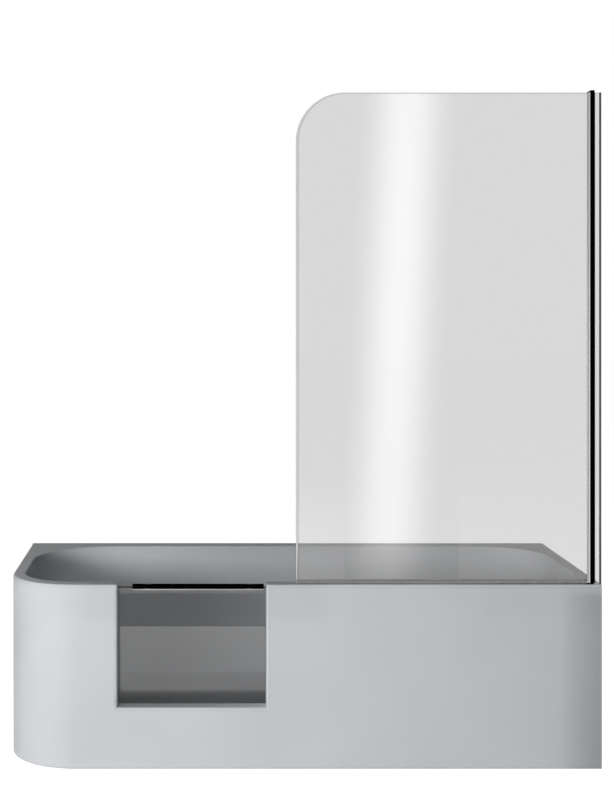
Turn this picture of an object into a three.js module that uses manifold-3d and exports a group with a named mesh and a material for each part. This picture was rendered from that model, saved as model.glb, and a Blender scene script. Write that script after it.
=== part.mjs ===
// A shower bath: a tub with one rounded corner, a glass door in its front wall and a
// glass screen that swings on a post above it, carried by a steel underframe.
// Millimetres. +Z is up, +X to the right as seen from the front, -Y is the front face.
import * as THREE from 'three';
import { mergeVertices } from 'three/addons/utils/BufferGeometryUtils.js';
import Module from 'manifold-3d';

const wasm = await Module();
wasm.setup();

// Driving dimensions

const clearance = 0.3; // between pieces that seat on each other
const overrun = 6; // how far a cut reaches past the face that it opens
const quarter = Math.PI / 2;

const bath = {
  length: 1700,
  depth: 750,
  height: 530,
  cornerRadius: 197, // the free front left corner, in plan
  edgeRadius: 5, // soft edge between rim and outside
};
const rim = { front: 50, back: 65, left: 36, right: 38, thickness: 8, innerEdge: 4 };
const shell = { wall: 8, floorHeight: 130, creaseHeight: 267, floorFillet: 22 };
const basinRadius = { frontLeft: 155, frontRight: 150, backRight: 200, backLeft: 250 };
const creaseInset = { left: 18, right: 0, front: 0, back: 5, corner: 4 };
const footInset = { left: 62, right: 42, front: 0, back: 55, corner: 40 };
const doorway = { fromLeft: 318, width: 425.5, sillHeight: 179 };
const panel = { wall: 6, floorGap: 3, foldDepth: 18 };

const board = { thickness: 15, wasteOpening: 70 };
const longRail = { width: 30, height: 25, wall: 2, inset: 45, overhang: 45 };
const crossRail = { width: 30, height: 20, wall: 2, overhang: 40, fromEnd: 190 };
const foot = {
  padRadius: 30,
  padTopRadius: 26,
  padHeight: 8,
  flangeRadius: 24,
  flangeHeight: 4,
  studRadius: 5,
  collarRadius: 10,
  collarHeight: 9,
  studReach: 14,
};
const clip = { width: 30, gauge: 2, reach: 38 };
const clipShares = [0.22, 0.62, 0.94]; // places of the front clips along the long rail
const wallClip = { width: 60, height: 40, gauge: 3, ledge: 32, fromCentre: 430 };

const pane = { thickness: 8, overlap: 14, belowRim: 16 };
const doorSeal = { thickness: 2, width: 10, setback: 2, show: 3.8, topGap: 8 };
const doorHinge = {
  fromJamb: 24, // axis to the doorway's left jamb
  fromWall: 14, // axis to the tub's inner face
  knuckleRadius: 7,
  pinRadius: 3,
  knuckleHeight: 16,
  leafHeight: 46,
  leafReach: 13,
  leafThickness: 6,
  railWidth: 34,
  railThickness: 5,
  endGap: 48, // from the pane's ends to the hinges
};
const topRail = { fromLeft: 42, fromRight: 6.5, wall: 2.6, depth: 9, cap: 2.6 };
const bar = {
  height: 14,
  depth: 12,
  cornerRadius: 2.5,
  setback: 38, // its axis behind the front face
  drop: 13, // its axis below the rim
  neckRadius: 4.5,
  neckLength: 16,
  neckFromEnd: 42,
};
const carrierRadius = 6;
const bolt = { radius: 2.6, length: 26, keeperWall: 2.4 };

const glass = { thickness: 6, cornerRadius: 140, fromLeft: 828, aboveRim: 1405, setback: 11 };
const post = { radius: 6.75, boreRadius: 3.1, grooveDepth: 2.4 };
const pivot = { pinRadius: 2.8, pinLength: 22, armThickness: 3.6, capThickness: 6 };
const clamp = { width: 9, depth: 13, hold: 5.5 };
const wiper = { height: 10, lip: 4, wall: 1.6 };
const strip = { width: 18 };
const channel = { depth: 4.5, wall: 1.5 };

const waste = {
  fromRight: 330,
  holeRadius: 26,
  flangeRadius: 35,
  flangeThickness: 2,
  neckRadius: 25,
  boreRadius: 21,
  neckLength: 24,
  webWidth: 3,
  webHeight: 5,
  plugRadius: 31,
  plugThickness: 4,
  stemRadius: 4,
  stemLength: 40,
  gasketThickness: 3,
  gasketRadius: 38,
};
const trap = { radius: 52, wall: 3, height: 104, outletRadius: 22, outletHeight: 38, spigot: 30 };
const overflow = {
  belowRim: 97,
  holeRadius: 24,
  rosetteRadius: 36,
  rosetteThickness: 5,
  knobRadius: 27,
  knobThickness: 13,
  knobFlutes: 8,
  fluteRadius: 4,
  spindleRadius: 5,
  gasketThickness: 2.5,
  bodyRadius: 34,
  bodyDepth: 24,
  bodyWall: 2.5,
  pipeRadius: 10,
  pipeWall: 1.8,
  pipeHeight: 66,
  bendRadius: 45,
  spigotLength: 20,
};
const cable = { radius: 2.2, sideOffset: 21 };

const cornerSteps = 16;
const edgeSteps = 3;
const roundSteps = 28;
const smallSteps = 16;
const pipeSides = 14;
const bendSteps = 9;

// Places worked out from those sizes

const leftEnd = -bath.length / 2;
const rightEnd = bath.length / 2;
const frontFace = -bath.depth / 2;
const backFace = bath.depth / 2;
const rimUnderside = bath.height - rim.thickness;
const tubInnerFace = frontFace + rim.front;
const doorwayLeft = leftEnd + doorway.fromLeft;
const doorwayRight = doorwayLeft + doorway.width;
const floorUnderside = shell.floorHeight - shell.wall;
const paneTop = bath.height - pane.belowRim;
const overflowZ = bath.height - overflow.belowRim;
const glassTop = bath.height + glass.aboveRim;

const finish = {
  body: { color: 0xd9dadd, roughness: 0.35, metalness: 0 },
  steel: { color: 0xa9adb2, roughness: 0.4, metalness: 0.9 },
  aluminium: { color: 0xc3c6ca, roughness: 0.3, metalness: 0.9 },
  chrome: { color: 0xd5d8dc, roughness: 0.12, metalness: 1 },
  black: { color: 0x121214, roughness: 0.35, metalness: 0.4 },
  glass: { color: 0xcfd6d6, roughness: 0.05, metalness: 0 },
  rubber: { color: 0x2a2a2c, roughness: 0.8, metalness: 0 },
  seal: { color: 0xd0d3d4, roughness: 0.3, metalness: 0 },
  plastic: { color: 0xe6e7e8, roughness: 0.5, metalness: 0 },
  wood: { color: 0xb6986c, roughness: 0.8, metalness: 0 },
};

const showerBath = new THREE.Group();
showerBath.name = 'shower_bath';

// Solids

// A closed mesh as a solid that can be joined and cut.
function solid(geometry) {
  const bare = geometry.clone();
  bare.deleteAttribute('normal');
  bare.deleteAttribute('uv');
  const merged = mergeVertices(bare);
  return new wasm.Manifold(
    new wasm.Mesh({
      numProp: 3,
      vertProperties: merged.attributes.position.array,
      triVerts: new Uint32Array(merged.index.array),
    }),
  );
}

function geometryOf(shape) {
  const mesh = shape.getMesh();
  const geometry = new THREE.BufferGeometry();
  geometry.setAttribute('position', new THREE.BufferAttribute(mesh.vertProperties, 3));
  geometry.setIndex(new THREE.BufferAttribute(mesh.triVerts, 1));
  const faceted = geometry.toNonIndexed();
  faceted.computeVertexNormals();
  return faceted;
}

function piece(name, shape, look, parent = showerBath) {
  const mesh = new THREE.Mesh(geometryOf(shape), new THREE.MeshStandardMaterial(look));
  mesh.name = name;
  parent.add(mesh);
  return mesh;
}

function block([x0, x1], [y0, y1], [z0, z1]) {
  const geometry = new THREE.BoxGeometry(x1 - x0, y1 - y0, z1 - z0);
  geometry.translate((x0 + x1) / 2, (y0 + y1) / 2, (z0 + z1) / 2);
  return solid(geometry);
}

// A round bar along x, y or z. The last pair is its place in the two other directions.
function rod(along, radius, [start, end], [first, second], sides = roundSteps) {
  const geometry = new THREE.CylinderGeometry(radius, radius, end - start, sides);
  const middle = (start + end) / 2;
  if (along === 'x') geometry.rotateZ(quarter).translate(middle, first, second);
  if (along === 'y') geometry.translate(first, middle, second);
  if (along === 'z') geometry.rotateX(quarter).translate(first, second, middle);
  return solid(geometry);
}

// A turned piece about Z. The profile runs from the lower end of the axis to the upper one.
function turned(profile, sides = roundSteps) {
  const points = profile.map(([radius, height]) => new THREE.Vector2(radius, height));
  return solid(new THREE.LatheGeometry(points, sides).rotateX(quarter));
}

// A flat outline in the YZ plane, carried along X.
function alongX(shape, [start, end]) {
  const geometry = new THREE.ExtrudeGeometry(shape, {
    depth: end - start,
    bevelEnabled: false,
    curveSegments: edgeSteps,
  });
  geometry.rotateX(quarter).rotateZ(quarter).translate(start, 0, 0);
  return solid(geometry);
}

function arc(x, y, radius, start, steps) {
  const points = [];
  for (let i = 0; i <= steps; i += 1) {
    const angle = start + (quarter * i) / steps;
    points.push(new THREE.Vector2(x + radius * Math.cos(angle), y + radius * Math.sin(angle)));
  }
  return points;
}

// A solid with flat ends through rings of points, each ring counterclockwise as seen from
// the last ring's end.
function skinned(positions, count) {
  const last = positions.length / 3 / count - 1;
  const faces = [];
  for (let level = 0; level < last; level += 1) {
    for (let i = 0; i < count; i += 1) {
      const a = level * count + i;
      const b = level * count + ((i + 1) % count);
      faces.push(a, b, b + count, a, b + count, a + count);
    }
  }
  const top = last * count;
  for (let i = 1; i + 1 < count; i += 1) {
    faces.push(0, i + 1, i, top, top + i, top + i + 1);
  }
  const geometry = new THREE.BufferGeometry();
  geometry.setAttribute('position', new THREE.Float32BufferAttribute(positions, 3));
  geometry.setIndex(faces);
  return solid(geometry);
}

// A solid through level outlines with equal counts of points, from the lowest up.
function loft(sections) {
  const positions = sections.flatMap(({ z, loop }) => loop.flatMap((p) => [p.x, p.y, z]));
  return skinned(positions, sections[0].loop.length);
}

// The plan outline of the tub: rounded at the free corner, and run past the two walls,
// where the solid is trimmed square.
function outline(inset) {
  const turn = bath.cornerRadius;
  return [
    ...arc(leftEnd + turn, frontFace + turn, turn - inset, Math.PI, cornerSteps),
    new THREE.Vector2(rightEnd + overrun, frontFace + inset),
    new THREE.Vector2(rightEnd + overrun, backFace + overrun),
    new THREE.Vector2(leftEnd + inset, backFace + overrun),
  ];
}

const wallBounds = block(
  [leftEnd - overrun, rightEnd],
  [frontFace - overrun, backFace],
  [-overrun, bath.height + overrun],
);

// A level section of the basin, drawn in by inset at each side.
function basinLoop(inset, drawnIn) {
  const left = leftEnd + rim.left + inset.left + drawnIn;
  const right = rightEnd - rim.right - inset.right - drawnIn;
  const front = frontFace + rim.front + inset.front + drawnIn;
  const back = backFace - rim.back - inset.back - drawnIn;
  const radiusAt = (corner) => basinRadius[corner] - inset.corner - drawnIn;
  const frontLeft = radiusAt('frontLeft');
  const frontRight = radiusAt('frontRight');
  const backRight = radiusAt('backRight');
  const backLeft = radiusAt('backLeft');
  return [
    ...arc(left + frontLeft, front + frontLeft, frontLeft, Math.PI, cornerSteps),
    ...arc(right - frontRight, front + frontRight, frontRight, -quarter, cornerSteps),
    ...arc(right - backRight, back - backRight, backRight, 0, cornerSteps),
    ...arc(left + backLeft, back - backLeft, backLeft, quarter, cornerSteps),
  ];
}

const noInset = { left: 0, right: 0, front: 0, back: 0, corner: 0 };

// The basin's faces below the rim, moved out by the given wall: a rounded floor edge, the
// sloped foot of the walls, the crease, and the upright upper walls.
function basinSections(wall) {
  const sections = [];
  const turn = shell.floorFillet + wall;
  for (let i = edgeSteps * 2; i >= 0; i -= 1) {
    const angle = (quarter * i) / (edgeSteps * 2);
    sections.push({
      z: shell.floorHeight + shell.floorFillet - turn * Math.sin(angle),
      loop: basinLoop(footInset, shell.floorFillet - turn * Math.cos(angle)),
    });
  }
  sections.push({ z: shell.creaseHeight, loop: basinLoop(creaseInset, -wall) });
  return sections;
}

// The hollow of the basin, with the soft inner edge of the rim and an overrun above it.
function basinHollow() {
  const sections = basinSections(0);
  for (let i = 0; i <= edgeSteps; i += 1) {
    const angle = (quarter * i) / edgeSteps;
    sections.push({
      z: bath.height - rim.innerEdge * (1 - Math.sin(angle)),
      loop: basinLoop(noInset, -rim.innerEdge * (1 - Math.cos(angle))),
    });
  }
  sections.push({ z: bath.height + overrun, loop: basinLoop(noInset, -rim.innerEdge) });
  return loft(sections);
}

// The tub

function rimSlab() {
  const sections = [{ z: rimUnderside, loop: outline(0) }];
  for (let i = 0; i <= edgeSteps; i += 1) {
    const angle = (quarter * i) / edgeSteps;
    sections.push({
      z: bath.height - bath.edgeRadius * (1 - Math.sin(angle)),
      loop: outline(bath.edgeRadius * (1 - Math.cos(angle))),
    });
  }
  return loft(sections).intersect(wallBounds);
}

const floorFront = tubInnerFace + footInset.front + shell.floorFillet;
const floorBack = backFace - rim.back - footInset.back - shell.floorFillet;
const overflowWallInner = rightEnd - rim.right;
const overflowWallOuter = overflowWallInner + shell.wall;
const flatWallFront = tubInnerFace + basinRadius.frontRight;
const flatWallBack = backFace - rim.back - basinRadius.backRight;
const overflowY = (flatWallFront + flatWallBack) / 2;
const wasteX = rightEnd - waste.fromRight;
const wasteY = overflowY;
const barY = frontFace + bar.setback;
const barZ = bath.height - bar.drop;
const keeperRadius = bolt.radius + clearance + bolt.keeperWall;

function bathShell() {
  const outer = basinSections(shell.wall);
  outer.push({ z: rimUnderside + rim.thickness / 2, loop: basinLoop(noInset, -shell.wall) });
  const liner = block(
    [doorwayLeft - shell.wall, doorwayRight + shell.wall],
    [frontFace, tubInnerFace],
    [doorway.sillHeight - shell.wall, bath.height - bath.edgeRadius],
  );
  const opening = block(
    [doorwayLeft, doorwayRight],
    [frontFace - overrun, tubInnerFace + overrun],
    [doorway.sillHeight, bath.height + overrun],
  );
  const wasteHole = rod(
    'z',
    waste.holeRadius,
    [floorUnderside - overrun, shell.floorHeight + overrun],
    [wasteX, wasteY],
  );
  const overflowHole = rod(
    'x',
    overflow.holeRadius,
    [overflowWallInner - overrun, overflowWallOuter + overrun],
    [overflowY, overflowZ],
  );
  const keeperHole = rod(
    'x',
    keeperRadius + clearance,
    [doorwayRight - overrun, doorwayRight + shell.wall + overrun],
    [barY, barZ],
    smallSteps,
  );
  return rimSlab()
    .add(loft(outer))
    .add(liner)
    .subtract(basinHollow())
    .subtract(opening)
    .subtract(wasteHole)
    .subtract(overflowHole)
    .subtract(keeperHole);
}

// The panel carries on the tub's outside below the rim and round the doorway, and has a
// fold inwards along its foot.
function apronPanel() {
  const span = [panel.floorGap, rimUnderside - clearance];
  const skin = (inset, [low, high]) =>
    loft([
      { z: low, loop: outline(inset) },
      { z: high, loop: outline(inset) },
    ]).intersect(wallBounds);
  const beside = shell.wall + clearance;
  const notch = block(
    [doorwayLeft - beside, doorwayRight + beside],
    [frontFace - overrun, frontFace + panel.wall + overrun],
    [doorway.sillHeight - beside, bath.height],
  );
  const inside = (inset, [low, high]) =>
    loft([
      { z: low, loop: outline(inset) },
      { z: high, loop: outline(inset) },
    ]);
  return skin(0, span)
    .subtract(inside(panel.wall, [panel.floorGap + panel.wall, bath.height]))
    .subtract(inside(panel.foldDepth, [-overrun, bath.height]))
    .subtract(notch);
}

piece('bath_shell', bathShell(), finish.body);
piece('apron_panel', apronPanel(), finish.body);

// The underframe

const boardTop = floorUnderside - clearance;
const boardBottom = boardTop - board.thickness;
const crossTop = boardBottom - clearance;
const crossBottom = crossTop - crossRail.height;
const longTop = crossBottom - clearance;
const longBottom = longTop - longRail.height;
const railFrontY = floorFront + longRail.inset;
const railBackY = floorBack - longRail.inset;
const firstCross = leftEnd + crossRail.fromEnd;
const lastCross = rightEnd - crossRail.fromEnd;
const crossXs = [firstCross, (firstCross + lastCross) / 2, lastCross];

function baseBoard() {
  const loop = basinLoop(footInset, shell.floorFillet);
  const plate = loft([
    { z: boardBottom, loop },
    { z: boardTop, loop },
  ]);
  const through = [boardBottom - overrun, boardTop + overrun];
  return plate.subtract(rod('z', board.wasteOpening, through, [wasteX, wasteY]));
}

// A square tube about its own middle, lying along X.
function railTube(length, { width, height, wall }) {
  const half = [length / 2, width / 2, height / 2];
  const outside = block([-half[0], half[0]], [-half[1], half[1]], [-half[2], half[2]]);
  const bore = block(
    [-half[0] - overrun, half[0] + overrun],
    [wall - half[1], half[1] - wall],
    [wall - half[2], half[2] - wall],
  );
  return outside.subtract(bore);
}

const longRailStart = firstCross - longRail.overhang;
const longRailEnd = lastCross + longRail.overhang;
const longRailMiddle = (longRailStart + longRailEnd) / 2;

function longRailTube() {
  const low = -longRail.height / 2;
  const through = [low - overrun, low + longRail.wall + overrun / 2];
  let tube = railTube(longRailEnd - longRailStart, longRail);
  for (const x of crossXs) {
    const place = [x - longRailMiddle, 0];
    tube = tube.subtract(rod('z', foot.studRadius + clearance, through, place, smallSteps));
  }
  return tube;
}

// The stud has a flange in the pad and a hexagon collar that the rail rests on.
function footStud() {
  const low = foot.padHeight + clearance;
  const collarTop = longBottom - clearance;
  const stud = turned(
    [
      [0, low],
      [foot.flangeRadius, low],
      [foot.flangeRadius, low + foot.flangeHeight],
      [foot.studRadius, low + foot.flangeHeight * 2],
      [foot.studRadius, longBottom + foot.studReach],
      [0, longBottom + foot.studReach],
    ],
    smallSteps,
  );
  return stud.add(rod('z', foot.collarRadius, [collarTop - foot.collarHeight, collarTop], [0, 0], 6));
}

function footPad() {
  return turned(
    [
      [0, 0],
      [foot.padRadius, 0],
      [foot.padTopRadius, foot.padHeight],
      [0, foot.padHeight],
    ],
    smallSteps,
  );
}

piece('base_board', baseBoard(), finish.wood);
const rails = [
  ['front', railFrontY],
  ['back', railBackY],
];
for (const [side, y] of rails) {
  const rail = piece(`long_rail_${side}`, longRailTube(), finish.steel);
  rail.position.set(longRailMiddle, y, (longTop + longBottom) / 2);
}
crossXs.forEach((x, i) => {
  const length = railBackY - railFrontY + 2 * crossRail.overhang;
  const rail = piece(`cross_rail_${i + 1}`, railTube(length, crossRail), finish.steel);
  rail.position.set(x, (railFrontY + railBackY) / 2, (crossTop + crossBottom) / 2);
  rail.rotation.z = quarter;
});
for (const [side, y] of rails) {
  crossXs.forEach((x, i) => {
    piece(`foot_pad_${side}_${i + 1}`, footPad(), finish.rubber).position.set(x, y, 0);
    piece(`foot_stud_${side}_${i + 1}`, footStud(), finish.steel).position.set(x, y, 0);
  });
}

// A bent strip from a rail's side to the panel's inner face. It reaches along -Y from zero.
function panelClip(reach) {
  const across = [-clip.width / 2, clip.width / 2];
  const footPart = block(across, [-clip.gauge, 0], [0, longRail.height]);
  const arm = block(across, [-reach, 0], [0, clip.gauge]);
  const tab = block(across, [-reach, clip.gauge - reach], [0, clip.reach]);
  return footPart.add(arm).add(tab);
}

clipShares.forEach((share, i) => {
  const start = railFrontY - longRail.width / 2 - clearance;
  const reach = start - (frontFace + panel.wall + clearance);
  const mesh = piece(`panel_clip_${i + 1}`, panelClip(reach), finish.steel);
  mesh.position.set(longRailStart + share * (longRailEnd - longRailStart), start, longBottom);
});
rails.forEach(([, y], i) => {
  const start = longRailStart - clearance;
  const faceAtRail = (railY) => {
    const toCentre = frontFace + bath.cornerRadius - railY;
    const inner = bath.cornerRadius - panel.wall;
    const far = Math.abs(toCentre) + clip.width / 2;
    const bulge = toCentre > 0 ? Math.sqrt(inner * inner - far * far) : inner;
    return leftEnd + bath.cornerRadius - bulge;
  };
  const reach = start - faceAtRail(y) - clearance;
  const mesh = piece(`panel_clip_${clipShares.length + i + 1}`, panelClip(reach), finish.steel);
  mesh.position.set(start, y, longBottom);
  mesh.rotation.z = -quarter;
});

// Angles on the room's wall, on which the back rim rests.
function wallAngle() {
  const across = [-wallClip.width / 2, wallClip.width / 2];
  const top = rimUnderside - clearance;
  const plate = block(across, [backFace - wallClip.gauge, backFace], [top - wallClip.height, top]);
  const ledge = block(across, [backFace - wallClip.ledge, backFace], [top - wallClip.gauge, top]);
  return plate.add(ledge);
}

[-1, 1].forEach((side, i) => {
  piece(`wall_clip_${i + 1}`, wallAngle(), finish.steel).position.x = side * wallClip.fromCentre;
});

// The waste

const plugRest = shell.floorHeight + waste.flangeThickness + 2 * clearance;
const bodyTop = floorUnderside - clearance * 2 - waste.gasketThickness;
const trapBottom = bodyTop - trap.height;

function ringSolid(outerRadius, innerRadius, [low, high]) {
  return rod('z', outerRadius, [low, high], [0, 0]).subtract(
    rod('z', innerRadius, [low - overrun, high + overrun], [0, 0]),
  );
}

// The flange's neck holds a cross of webs with an eye that guides the plug's stem.
function wasteFlange() {
  const seat = shell.floorHeight + clearance;
  const foot = seat - waste.neckLength;
  const level = [foot, foot + waste.webHeight];
  const along = [-waste.boreRadius - clearance, waste.boreRadius + clearance];
  const across = [-waste.webWidth / 2, waste.webWidth / 2];
  const eyeRadius = waste.stemRadius + clearance + waste.webWidth;
  return ringSolid(waste.flangeRadius, waste.boreRadius, [seat, seat + waste.flangeThickness])
    .add(ringSolid(waste.neckRadius, waste.boreRadius, [foot, seat + clearance]))
    .add(block(along, across, level))
    .add(block(across, along, level))
    .add(rod('z', eyeRadius, level, [0, 0], smallSteps))
    .subtract(rod('z', waste.stemRadius + clearance, [foot - overrun, seat], [0, 0], smallSteps));
}

function wastePlug() {
  return turned([
    [0, plugRest - waste.stemLength],
    [waste.stemRadius, plugRest - waste.stemLength],
    [waste.stemRadius, plugRest],
    [waste.plugRadius, plugRest],
    [waste.plugRadius, plugRest + waste.plugThickness / 2],
    [waste.plugRadius - waste.plugThickness, plugRest + waste.plugThickness],
    [0, plugRest + waste.plugThickness],
  ]);
}

// A flat cup that holds the water seal, closed above round the flange's neck, with an
// outlet to the back and an inlet for the overflow.
function trapBody() {
  const outletPlace = [0, trap.outletHeight];
  const outletReach = trap.radius + trap.spigot;
  const inletPlace = [0, overflow.pipeHeight];
  const inletReach = trap.radius + overflow.spigotLength;
  const innerRadius = trap.radius - trap.wall;
  const roof = bodyTop - trap.wall;
  return rod('z', trap.radius, [trapBottom, bodyTop], [0, 0])
    .add(rod('y', trap.outletRadius, [0, outletReach], outletPlace))
    .add(rod('x', overflow.pipeRadius + trap.wall, [0, inletReach], inletPlace))
    .subtract(rod('z', innerRadius, [trapBottom + trap.wall, roof], [0, 0]))
    .subtract(rod('z', waste.neckRadius + clearance, [roof - overrun, bodyTop + overrun], [0, 0]))
    .subtract(rod('y', trap.outletRadius - trap.wall, [0, outletReach + overrun], outletPlace))
    .subtract(rod('x', overflow.pipeRadius + clearance, [innerRadius, inletReach + overrun], inletPlace));
}

function outletPipe() {
  const start = trap.radius + trap.wall;
  const end = backFace - wasteY;
  const place = [0, trap.outletHeight];
  const radius = trap.outletRadius - trap.wall - clearance;
  const pipe = rod('y', radius, [start, end], place);
  return pipe.subtract(rod('y', radius - trap.wall, [start - overrun, end + overrun], place));
}

function wasteGasket() {
  const top = floorUnderside - clearance;
  return ringSolid(waste.gasketRadius, waste.neckRadius + clearance, [top - waste.gasketThickness, top]);
}

const wastePieces = [
  ['waste_flange', wasteFlange(), finish.chrome],
  ['waste_gasket', wasteGasket(), finish.rubber],
  ['waste_trap', trapBody(), finish.plastic],
  ['waste_outlet', outletPipe(), finish.plastic],
  ['waste_plug', wastePlug(), finish.chrome],
];
for (const [name, shape, look] of wastePieces) {
  piece(name, shape, look).position.set(wasteX, wasteY, 0);
}

// The overflow. Its pieces are turned about an axis along X, through the right end wall.

const overflowGroup = new THREE.Group();
overflowGroup.position.set(overflowWallInner, overflowY, overflowZ);
showerBath.add(overflowGroup);
const gasketStart = shell.wall + clearance;
const overflowBodyStart = gasketStart + overflow.gasketThickness + clearance;
const pipeX = overflowWallInner + overflowBodyStart + overflow.bodyDepth / 2;

// A ring with its axis along X.
function disc(radius, hole, span) {
  const body = rod('x', radius, span, [0, 0]);
  return body.subtract(rod('x', hole, [span[0] - overrun, span[1] + overrun], [0, 0]));
}

const rosetteSpan = [-clearance - overflow.rosetteThickness, -clearance];

// Places round the overflow's axis, one for each flute, turned on by a share of a step.
function fluteAngles(share) {
  return Array.from({ length: overflow.knobFlutes }, (_, i) => {
    const angle = (2 * Math.PI * (i + share)) / overflow.knobFlutes;
    return [Math.cos(angle), Math.sin(angle)];
  });
}

// The plate behind the knob, with a ring of water slots between the knob's flutes.
function overflowRosette() {
  const through = [rosetteSpan[0] - overrun, overrun];
  const slotRadius = (overflow.rosetteRadius + overflow.knobRadius) / 2;
  let plate = disc(overflow.rosetteRadius, overflow.spindleRadius + clearance, rosetteSpan);
  for (const [c, s] of fluteAngles(1 / 2)) {
    const place = [slotRadius * c, slotRadius * s];
    plate = plate.subtract(rod('x', overflow.fluteRadius / 2, through, place, smallSteps / 2));
  }
  return plate;
}

function overflowKnob() {
  const back = rosetteSpan[0] - clearance;
  const front = back - overflow.knobThickness;
  const through = [front - overrun, back + overrun];
  const spindleSpan = [back - clearance, overflowBodyStart + overflow.bodyDepth / 2];
  let knob = rod('x', overflow.knobRadius, [front, back], [0, 0]);
  for (const [c, s] of fluteAngles(0)) {
    const place = [overflow.knobRadius * c, overflow.knobRadius * s];
    knob = knob.subtract(rod('x', overflow.fluteRadius, through, place, smallSteps));
  }
  return knob.add(rod('x', overflow.spindleRadius, spindleSpan, [0, 0], smallSteps));
}

function overflowBody() {
  const end = overflowBodyStart + overflow.bodyDepth;
  const place = [(overflowBodyStart + end) / 2, 0];
  const low = -overflow.bodyRadius - overflow.spigotLength;
  const wall = overflow.bodyWall;
  return rod('x', overflow.bodyRadius, [overflowBodyStart, end], [0, 0])
    .add(rod('z', overflow.pipeRadius + wall - clearance, [low, 0], place))
    .subtract(rod('x', overflow.bodyRadius - wall, [overflowBodyStart - overrun, end - wall], [0, 0]))
    .subtract(rod('z', overflow.pipeRadius, [low - overrun, 0], place));
}

piece('overflow_rosette', overflowRosette(), finish.chrome, overflowGroup);
piece('overflow_knob', overflowKnob(), finish.chrome, overflowGroup);
piece(
  'overflow_gasket',
  disc(overflow.bodyRadius, overflow.holeRadius, [gasketStart, gasketStart + overflow.gasketThickness]),
  finish.rubber,
  overflowGroup,
);
piece('overflow_body', overflowBody(), finish.plastic, overflowGroup);

// A round tube that runs down from its top, turns through one bend and runs on along -X
// to its foot. The rings stand square to the run, with most of them round the bend.
function bentTube({ top, foot, y, bend }, radius, past = 0) {
  const rings = [{ x: top.x, z: top.z + past, angle: 0 }];
  for (let i = 0; i <= bendSteps; i += 1) {
    const angle = (quarter * i) / bendSteps;
    rings.push({
      x: top.x - bend * (1 - Math.cos(angle)),
      z: foot.z + bend * (1 - Math.sin(angle)),
      angle,
    });
  }
  rings.push({ x: foot.x - past, z: foot.z, angle: quarter });
  const positions = [];
  for (const { x, z, angle } of rings) {
    for (let i = 0; i < pipeSides; i += 1) {
      const round = (2 * Math.PI * i) / pipeSides;
      const out = radius * Math.cos(round);
      const side = radius * Math.sin(round);
      positions.push(x + out * Math.cos(angle), y - side, z - out * Math.sin(angle));
    }
  }
  return skinned(positions, pipeSides);
}

const overflowRun = {
  top: { x: pipeX, z: overflowZ - overflow.bodyRadius },
  foot: { x: wasteX + trap.radius, z: overflow.pipeHeight },
  y: overflowY,
  bend: overflow.bendRadius,
};
// The cable runs beside the pipe, from the round body's underside to the trap's side.
const besideAxis = (radius) => Math.sqrt(radius ** 2 - (cable.sideOffset - cable.radius) ** 2);
const cableRun = {
  top: { x: pipeX, z: overflowZ - besideAxis(overflow.bodyRadius) - clearance },
  foot: { x: wasteX + besideAxis(trap.radius) + clearance, z: overflow.pipeHeight },
  y: overflowY + cable.sideOffset,
  bend: overflow.bendRadius,
};
const pipeOutside = overflow.pipeRadius - clearance;
const overflowPipe = bentTube(overflowRun, pipeOutside).subtract(
  bentTube(overflowRun, pipeOutside - overflow.pipeWall, overrun),
);
piece('overflow_pipe', overflowPipe, finish.plastic);
piece('plug_cable', bentTube(cableRun, cable.radius), finish.rubber);

// The door. Its group stands on the hinge axis, so that the pane's places are measured
// from there.

const hingeX = doorwayLeft - doorHinge.fromJamb;
const hingeY = tubInnerFace + doorHinge.fromWall;
const door = new THREE.Group();
door.position.set(hingeX, hingeY, 0);
showerBath.add(door);

const paneFront = clearance * 2 + doorSeal.thickness - doorHinge.fromWall;
const paneBack = paneFront + pane.thickness;
const paneLeft = doorHinge.fromJamb - pane.overlap;
const paneRight = doorHinge.fromJamb + doorway.width + pane.overlap;
const paneBottom = doorway.sillHeight - pane.overlap;
const hingeZs = [
  ['bottom', paneBottom + doorHinge.endGap],
  ['top', paneTop - doorHinge.endGap],
];
const knuckleSpan = doorHinge.leafHeight / 2 + clearance;

const doorGlass = block([paneLeft, paneRight], [paneFront, paneBack], [paneBottom, paneTop]);
piece('door_glass', doorGlass, finish.glass, door);

// The seal stays behind the doorway's edges, apart from a narrow dark line on the hinge side.
function bulbSeal() {
  const low = doorway.sillHeight - doorSeal.setback;
  const left = doorwayLeft + doorSeal.show;
  const right = doorwayRight + doorSeal.setback;
  const top = paneTop - doorSeal.topGap;
  const { thickness, width } = doorSeal;
  const face = [tubInnerFace + clearance, tubInnerFace + clearance + thickness];
  const through = [face[0] - overrun, face[1] + overrun];
  const sheet = block([left - width, right + width], face, [low - width, top]);
  return sheet.subtract(block([left, right], through, [low, bath.height]));
}

piece('door_seal', bulbSeal(), finish.rubber);

// The rail on the tub's wall carries two knuckles at each hinge, above and below the leaf's.
function hingeRail() {
  const wall = clearance - doorHinge.fromWall;
  const side = -doorHinge.knuckleRadius;
  const face = [wall, wall + doorHinge.railThickness];
  let rail = block([side - doorHinge.railWidth, 0], face, [paneBottom, paneTop - doorSeal.topGap]);
  for (const [, z] of hingeZs) {
    for (const turn of [-1, 1]) {
      const inner = z + turn * knuckleSpan;
      const outer = inner + turn * doorHinge.knuckleHeight;
      const level = [Math.min(inner, outer), Math.max(inner, outer)];
      rail = rail
        .add(rod('z', doorHinge.knuckleRadius, level, [0, 0], smallSteps))
        .add(block([side, 0], [wall, 0], level));
    }
  }
  for (const [, z] of hingeZs) {
    const reach = knuckleSpan + doorHinge.knuckleHeight + overrun;
    const bore = rod('z', doorHinge.pinRadius + clearance, [z - reach, z + reach], [0, 0], smallSteps);
    rail = rail.subtract(bore);
  }
  return rail;
}

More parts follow.
